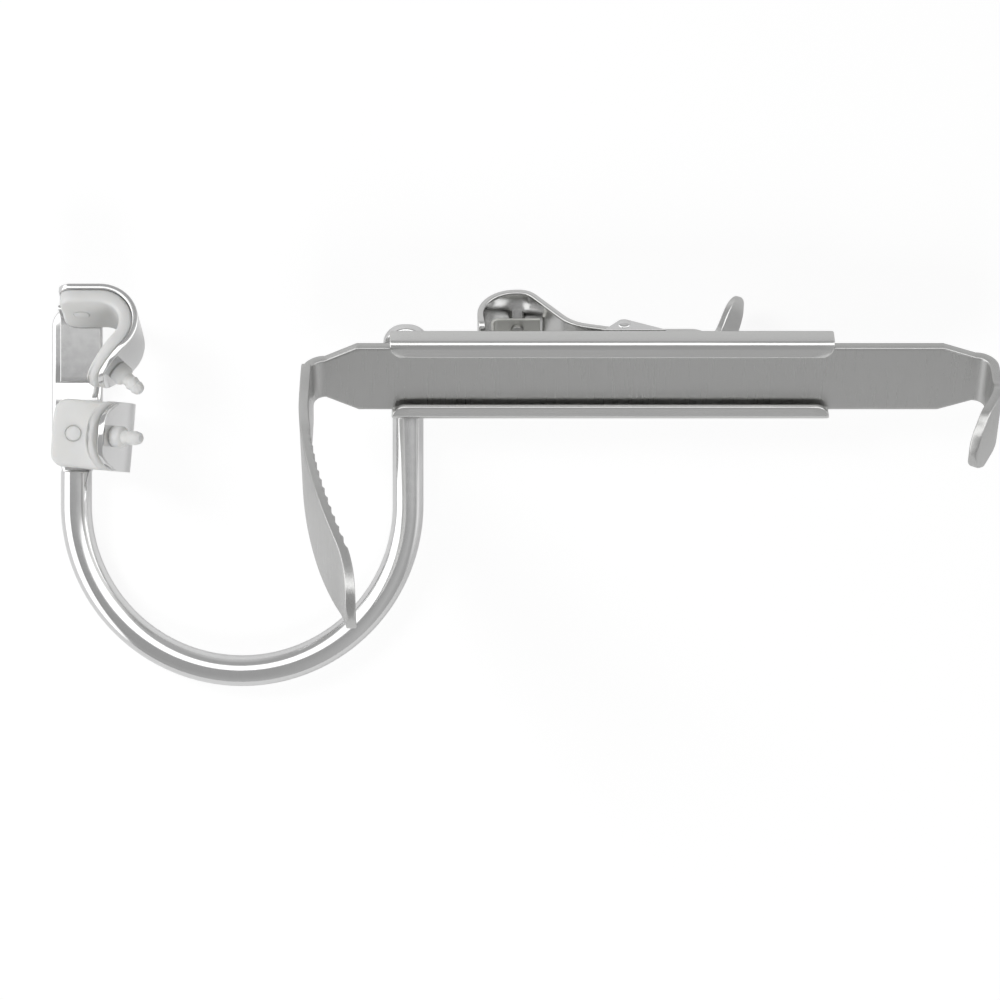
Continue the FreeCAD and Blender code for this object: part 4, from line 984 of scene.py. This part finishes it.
class GAG_OT_release_lever(bpy.types.Operator):
    """Build the release lever, its pivot, its pawl and its spring"""
    bl_idname = "gag.release_lever"
    bl_label = "Release Lever"

    CORNER = 1.6 * MM  # rounded corners of the loop's free end
    OVAL, WAIST = 0.5, 0.36  # oval end of the tab per its length, and its neck per half width
    BARREL_EDGE = 0.25 * MM
    BORE_CLEAR = 0.05 * MM  # between the pin and the barrel's bore
    LUG_GAP, LUG_SHEET = 0.15 * MM, 1.2 * MM

    # Small pieces keep their CAD shape: node, body, slot, finish, and edges in millimetres
    SMALL = {
        "upper_lug": ("upper_pivot_lug", "frame", "polished_rod", "polished_stainless", 0.15),
        "lower_lug": ("lower_pivot_lug", "frame", "polished_rod", "polished_stainless", 0.15),
        "pawl_wedge": ("pawl", "lever", "hard_steel", "ground_hard_steel", 0.08),
        "loop_post": ("spring_post", "lever", "polished_rod", "polished_stainless", 0.1),
        "slotted_screw": ("spring_screw", "lever", "hard_steel", "ground_hard_steel", 0.12),
        "peened_rivet": ("pawl_rivet", "lever", "polished_rod", "polished_stainless", 0.15),
    }

    def execute(self, context):
        lever, rail = context.scene.gag_lever, context.scene.gag_rail
        rail_place = rail_frame()
        place = rail_place @ Matrix.Translation((0, lever.shift, 0)) @ SIDE_VIEW
        track = lever_track(lever, rail)
        half = lever.width / 2
        # The thumb tab is an oval on a narrower neck
        oval, arm_end = self.OVAL * lever.tab_length, lever.tab_length + 2 * lever.tab_radius
        waist = self.WAIST * half

        def wide(run, point):
            last = track.length - run
            if last < oval:
                return half * math.sqrt(max(1 - (1 - last / oval) ** 2, 0.0))
            if last < arm_end:
                return half - waist * math.sin(math.pi * (last - oval) / (arm_end - oval)) ** 2
            return half - rounded_drop(run, self.CORNER)

        sheet = strip("lever_sheet", track, place, wide, lever.thick, lever.edge,
                      (self.CORNER, oval), MM)
        depth = rail.depth + lever.pivot_behind
        low = rail_place @ Vector((lever.pivot_along, lever.shift - half, -depth))
        axis = rail_place.to_3x3() @ Y_AXIS
        r, edge, bore = lever.barrel / 2, self.BARREL_EDGE, lever.pin / 2 + self.BORE_CLEAR
        barrel = lathe("barrel", [(bore, 0), (r - edge, 0), (r, edge), (r, lever.width - edge),
                                  (r - edge, lever.width), (bore, lever.width), (bore, 0)],
                       low, axis)
        piece = join("release_lever_steel", [sheet, barrel])
        settle(piece, "lever", "brushed_sheet", "brushed_stainless", "release_lever")
        self.pivot(lever, rail_place, axis, depth)
        for name, (node, body, slot, kind, edge) in self.SMALL.items():
            settle(dress(name, node, edge * MM), body, slot, kind, node)
        self.leaf(rail_place)
        return {"FINISHED"}

    def pivot(self, lever, rail_place, axis, depth):
        """Pin with domed heads over the lugs."""
        head, shank = lever.pin_head / 2, lever.pin / 2
        rise = shank / 2
        reach = lever.width + 2 * (self.LUG_GAP + self.LUG_SHEET)
        start = rail_place @ Vector((lever.pivot_along, lever.shift - reach / 2, -depth))
        outline = dome(head, 0, -rise, 6)[::-1] + [(shank, 0), (shank, reach)]
        pin = lathe("peened_pin", outline + dome(head, reach, rise, 6), start, axis)
        settle(pin, "frame", "polished_rod", "polished_stainless", "pivot_pin")

    def leaf(self, rail_place):
        """Leaf spring: a copy of its CAD node with rounded edges, left in place on no body."""
        piece = dress("spring_leaf", "leaf_spring", 0.08 * MM)
        coat(piece, "spring_steel", "rolled_spring_steel", "leaf_spring")
        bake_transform(piece)


def hooked(plates, name, place, track, thick, edge, relief=None):
    """Hooked strip: round corners at its start, a round tip at its end."""
    half = plates.width / 2
    radius = (half ** 2 + plates.tip ** 2) / (2 * plates.tip)
    tip_height = track.at(track.length)[0].y

    def wide(run, point):
        width = half - rounded_drop(run, plates.corner)
        low = point.y - (tip_height - radius)
        if run > track.length / 2 and point.y > tip_height - plates.tip:
            width = min(width, math.sqrt(max(radius ** 2 - low ** 2, 0.0)))
        return width

    return strip(name, track, place @ Matrix.Translation((0, 0, half)), wide, thick, edge,
                 (plates.corner, plates.tip / 2), MM, relief)


def build_hook(plates, name, place, flat, sweep):
    """Hooked plate in its own frame: along the leg, up the hook, across it."""
    track = Track((0, plates.sheet / 2), 0, [
        (flat, 0), (plates.hook_radius - plates.sheet / 2, sweep), (plates.hook_leg, 0),
        (plates.flare_radius, -plates.flare_sweep)])
    return hooked(plates, name, place, track, plates.sheet, plates.edge)


# Stem outside its collar: thickness per shaft, and height per length. Two barbs hold it
STEM = [(0.95, 0.38), (0.88, 0.5), (0.88, 0.56), (1.02, 0.6), (0.84, 0.76), (0.95, 0.8),
        (0.75, 0.95), (0.5, 1.0)]


def build_pad(plates, name, place, flat, sweep):
    """Silicone lining of a hook with its plug and its stem."""
    half_pad = plates.pad / 2
    inside = plates.sheet + plates.pad_gap + half_pad
    track = Track((plates.pad_inset, inside), 0, [
        (flat - plates.pad_inset, 0), (plates.hook_radius - inside, sweep),
        (plates.hook_leg + plates.pad_over + half_pad, 0)])
    leg_start = track.legs[2][0]

    def thinner(run):
        part = min(max((run - leg_start) / (track.length - leg_start), 0.0), 1.0)
        return plates.pad_thins * part

    lining = hooked(plates, name + "_lining", place, track, plates.pad, PAD_EDGE, thinner)
    # Stem through the straight leg, with a collar
    end = Vector((flat + plates.hook_radius * math.sin(sweep),
                  plates.hook_radius * (1 - math.cos(sweep)), plates.width / 2))
    along = Vector((math.cos(sweep), math.sin(sweep), 0))
    foot = place @ (end + along * plates.stem_along)
    out = place.to_3x3() @ Vector((along.y, -along.x, 0))
    shaft, collar, stem_end = plates.stem / 2, plates.collar / 2, plates.stem_length
    outline = [(0, -inside), (shaft, -inside), (shaft, COLLAR_FOOT),
               (collar - COLLAR_EDGE, plates.pad_gap), (collar, COLLAR_EDGE),
               (collar, COLLAR_TOP[0] * stem_end),
               (collar - COLLAR_EDGE, COLLAR_TOP[1] * stem_end)]
    outline += [(shaft * wide_part, stem_end * part) for wide_part, part in STEM]
    stem = lathe(name + "_stem", outline + [(0, stem_end)], foot, out, TURNED_SOFT)
    # Plug in the flat leg, with a low dome in a ring-shaped groove
    top, radius = inside + half_pad, plates.pip / 2
    middle = place @ Vector((flat / 2, 0, plates.width / 2))
    upward = place.to_3x3() @ Y_AXIS
    plug = lathe(name + "_plug", [(0, PLUG_FOOT), (radius, PLUG_FOOT)]
                 + dome(radius, top, plates.pip_rise, 5), middle, upward, TURNED_SOFT)
    moat, low, high = radius + MOAT_WIDE, top - MOAT_DEEP, top + MM
    pocket = lathe(name + "_pocket", [(0, low), (moat, low), (moat, high), (0, high)],
                   middle, upward, TURNED_SOFT)
    combine(lining, pocket, "DIFFERENCE")
    combine(lining, plug, "UNION")
    combine(lining, stem, "UNION")
    return join(name, [lining])


class GAG_OT_tooth_plates(bpy.types.Operator):
    """Build both hooked tooth plates and their silicone linings"""
    bl_idname = "gag.tooth_plates"
    bl_label = "Tooth Plates"

    BASE_RISE = 3.2 * MM  # the base goes on this far after its bend

    def execute(self, context):
        plates = context.scene.gag_plate
        top = context.scene.gag_rod.paddle_thick
        side = (Matrix.Translation((-plates.side_left, -plates.side_top, top))
                @ Matrix.Rotation(plates.side_turn, 4, "Z") @ Matrix.Rotation(QUARTER, 4, "X"))
        lean, half = plates.front_angle, plates.sheet / 2
        base, whole = [Track((plates.base_low, top + half), 0, [
            (plates.base_length, 0), (plates.base_bend, lean), (rise, 0)])
            for rise in (self.BASE_RISE, plates.width)]
        corner, _ = whole.at(whole.length)
        half_base = plates.base_width / 2
        base_place = Matrix.Translation((half_base - plates.front_left, 0, 0)) @ END_VIEW
        foot = strip("front_base", base, base_place, lambda run, point: half_base,
                     plates.sheet, plates.edge)
        outer = Vector((0, math.sin(lean), -math.cos(lean)))
        origin = Vector((plates.hook_offset - plates.front_left, corner.x, corner.y))
        front = (Matrix.Translation(origin + outer * half)
                 @ Matrix.Rotation(QUARTER + lean, 4, "X"))
        for which, base_of, place, flat, sweep in (
                ("side", [], side, plates.side_flat, plates.side_sweep),
                ("front", [foot], front, plates.front_flat, plates.front_sweep)):
            hook = build_hook(plates, which + "_hook", place, flat, sweep)
            plate = join(which + "_hook_steel", base_of + [hook])
            settle(plate, "frame", "brushed_sheet", "polished_stainless",
                   which + "_tooth_plate")
            pad = build_pad(plates, which + "_silicone", place, flat, sweep)
            settle(pad, "frame", "silicone", "moulded_silicone", which + "_tooth_pad")
        return {"FINISHED"}


class GAG_OT_stage(bpy.types.Operator):
    """Build the floor, the lights, the world and the camera"""
    bl_idname = "gag.stage"
    bl_label = "Stage"

    # Where the photograph's camera hangs, and how wide its frame is at the table
    VIEW_X, VIEW_Y, VIEW_HIGH, VIEW_WIDE = 89.4 * MM, -22.3 * MM, 700 * MM, 212 * MM
    SENSOR, CLIP = 36.0, 20.0  # sensor in millimetres, farthest view in metres
    FLOOR_HALF = 3.0
    # Share of the floor that glows, for the camera and in reflections, and how brightly
    FLOOR_SEEN, FLOOR_MIRRORED, FLOOR_GLOW = 0.84, 0.2, 1.07
    # The tent's brightness in reflections, by direction: the left wall is white up to a dark
    # seam and the right wall brightens low down; a panel stands behind the rail
    TENT = {
        "X": [(0.0, 1.6), (0.15, 1.6), (0.17, 0.08), (0.195, 0.1), (0.23, 0.4), (0.5, 0.41),
              (0.8, 0.54), (0.95, 0.42), (0.985, 0.85), (1.0, 1.0)],
        "Y": [(0.0, 0.5), (0.05, 0.45), (0.3, 0.35), (0.53, 0.38), (0.55, 1.7), (0.79, 1.7),
              (0.82, 0.42), (0.95, 0.45), (0.99, 0.6), (1.0, 0.65)]}
    PLAIN = 0.25  # brightness of the tent as it lights the piece
    # Lamps: place, width of the square in metres, and power in watts
    LAMPS = {"Left panel": ((-0.45, 0.3, 0.5), 0.3, 2.7),
             "Front panel": ((0.1, -0.6, 0.5), 0.3, 2.1)}

    def execute(self, context):
        scene = context.scene
        self.floor(scene)
        self.world(scene)
        self.lamps(scene)
        lens = bpy.data.cameras.new("Camera")
        lens.sensor_width = self.SENSOR
        lens.lens = self.SENSOR * self.VIEW_HIGH / self.VIEW_WIDE
        lens.clip_end = self.CLIP
        camera = bpy.data.objects.new("Camera", lens)
        camera.location = (self.VIEW_X, self.VIEW_Y, self.VIEW_HIGH)
        scene.collection.objects.link(camera)
        scene.camera = camera
        scene.view_settings.view_transform = "Standard"
        return {"FINISHED"}

    def floor(self, scene):
        """Flat floor of white acrylic, lit from below."""
        bm = bmesh.new()
        bmesh.ops.create_grid(bm, x_segments=1, y_segments=1, size=self.FLOOR_HALF)
        floor = finish_mesh("floor", bm)
        material = bpy.data.materials.new("white_acrylic_floor")
        tree = new_tree(material)

        def maths(operation, first, second):
            return add_node(tree, "ShaderNodeMath", {
                "operation": operation, 0: first, 1: second}).outputs["Value"]

        rays = add_node(tree, "ShaderNodeLightPath").outputs
        seen = maths("MAXIMUM", rays["Is Camera Ray"], rays["Is Transmission Ray"])
        # Metal shows the floor a little less bright, so that its edges stand out
        share = maths("MAXIMUM", maths("MULTIPLY", seen, self.FLOOR_SEEN),
                      maths("MULTIPLY", rays["Is Glossy Ray"], self.FLOOR_MIRRORED))
        matt = add_node(tree, "ShaderNodeBsdfDiffuse", {"Color": tuple(scene.gag_finish.floor)})
        bright = add_node(tree, "ShaderNodeEmission", {
            "Color": (1, 1, 1, 1), "Strength": self.FLOOR_GLOW})
        mixed = add_node(tree, "ShaderNodeMixShader", {
            0: share, 1: matt.outputs["BSDF"], 2: bright.outputs["Emission"]})
        add_node(tree, "ShaderNodeOutputMaterial", {"Surface": mixed.outputs["Shader"]})
        floor.data.materials.append(material)

    def world(self, scene):
        """Light tent: white to the camera; grey walls with bright panels in reflections."""
        scene.world = bpy.data.worlds.new("Light tent")
        tree = new_tree(scene.world)

        def light(colour, strength):
            return add_node(tree, "ShaderNodeBackground", {
                "Color": colour, "Strength": strength}).outputs["Background"]

        place = add_node(tree, "ShaderNodeTexCoord").outputs["Generated"]
        axes = add_node(tree, "ShaderNodeSeparateXYZ", {0: place}).outputs
        walls = [ramp(tree, spread(tree, axes[axis], -1.0, 1.0), stops)
                 for axis, stops in self.TENT.items()]
        tent = light(mix_colours(tree, 1.0, *walls, "LIGHTEN"), 1.0)
        rays = add_node(tree, "ShaderNodeLightPath").outputs
        lit = add_node(tree, "ShaderNodeMixShader", {
            0: rays["Is Glossy Ray"], 1: light((1, 1, 1, 1), self.PLAIN), 2: tent})
        mixed = add_node(tree, "ShaderNodeMixShader", {
            0: rays["Is Camera Ray"], 1: lit.outputs["Shader"], 2: light((1, 1, 1, 1), 1.0)})
        add_node(tree, "ShaderNodeOutputWorld", {"Surface": mixed.outputs["Shader"]})

    def lamps(self, scene):
        """A broad lamp from the upper left and a weaker one from the front."""
        target = Vector((self.VIEW_X, self.VIEW_Y, 0))
        for name, (spot, size, power) in self.LAMPS.items():
            data = bpy.data.lights.new(name, "AREA")
            data.shape = "SQUARE"
            data.size = size
            data.energy = power
            lamp = bpy.data.objects.new(name, data)
            lamp.location = spot
            aim = target - Vector(spot)
            lamp.rotation_euler = aim.to_track_quat("-Z", "Y").to_euler()
            lamp.visible_glossy = False
            scene.collection.objects.link(lamp)


class GAG_PT_panel(bpy.types.Panel):
    """Lists the pieces of the mouth gag"""
    bl_idname = "GAG_PT_panel"
    bl_label = "Mouth Gag"
    bl_space_type = "VIEW_3D"
    bl_region_type = "UI"
    bl_category = "Mouth Gag"

    def draw(self, context):
        for operator in PIECES:
            self.layout.operator(operator.bl_idname)
        for name, group in GROUPS.items():
            box = self.layout.box()
            box.label(text=group.__doc__)
            for field in group.__annotations__:
                box.prop(getattr(context.scene, name), field)


PIECES = (GAG_OT_frame_rod, GAG_OT_guide_rail, GAG_OT_tongue_bar, GAG_OT_release_lever,
          GAG_OT_tooth_plates, GAG_OT_stage)


def register():
    for group in GROUPS.values():
        bpy.utils.register_class(group)
    for operator in PIECES:
        bpy.utils.register_class(operator)
    bpy.utils.register_class(GAG_PT_panel)
    for name, group in GROUPS.items():
        setattr(bpy.types.Scene, name, bpy.props.PointerProperty(type=group))


def unregister():
    for name in GROUPS:
        delattr(bpy.types.Scene, name)
    bpy.utils.unregister_class(GAG_PT_panel)
    for operator in reversed(PIECES):
        bpy.utils.unregister_class(operator)
    for group in GROUPS.values():
        bpy.utils.unregister_class(group)


def main():
    register()
    for operator in PIECES:
        family, name = operator.bl_idname.split(".")
        getattr(getattr(bpy.ops, family), name)()


if __name__ == "__main__":
    main()
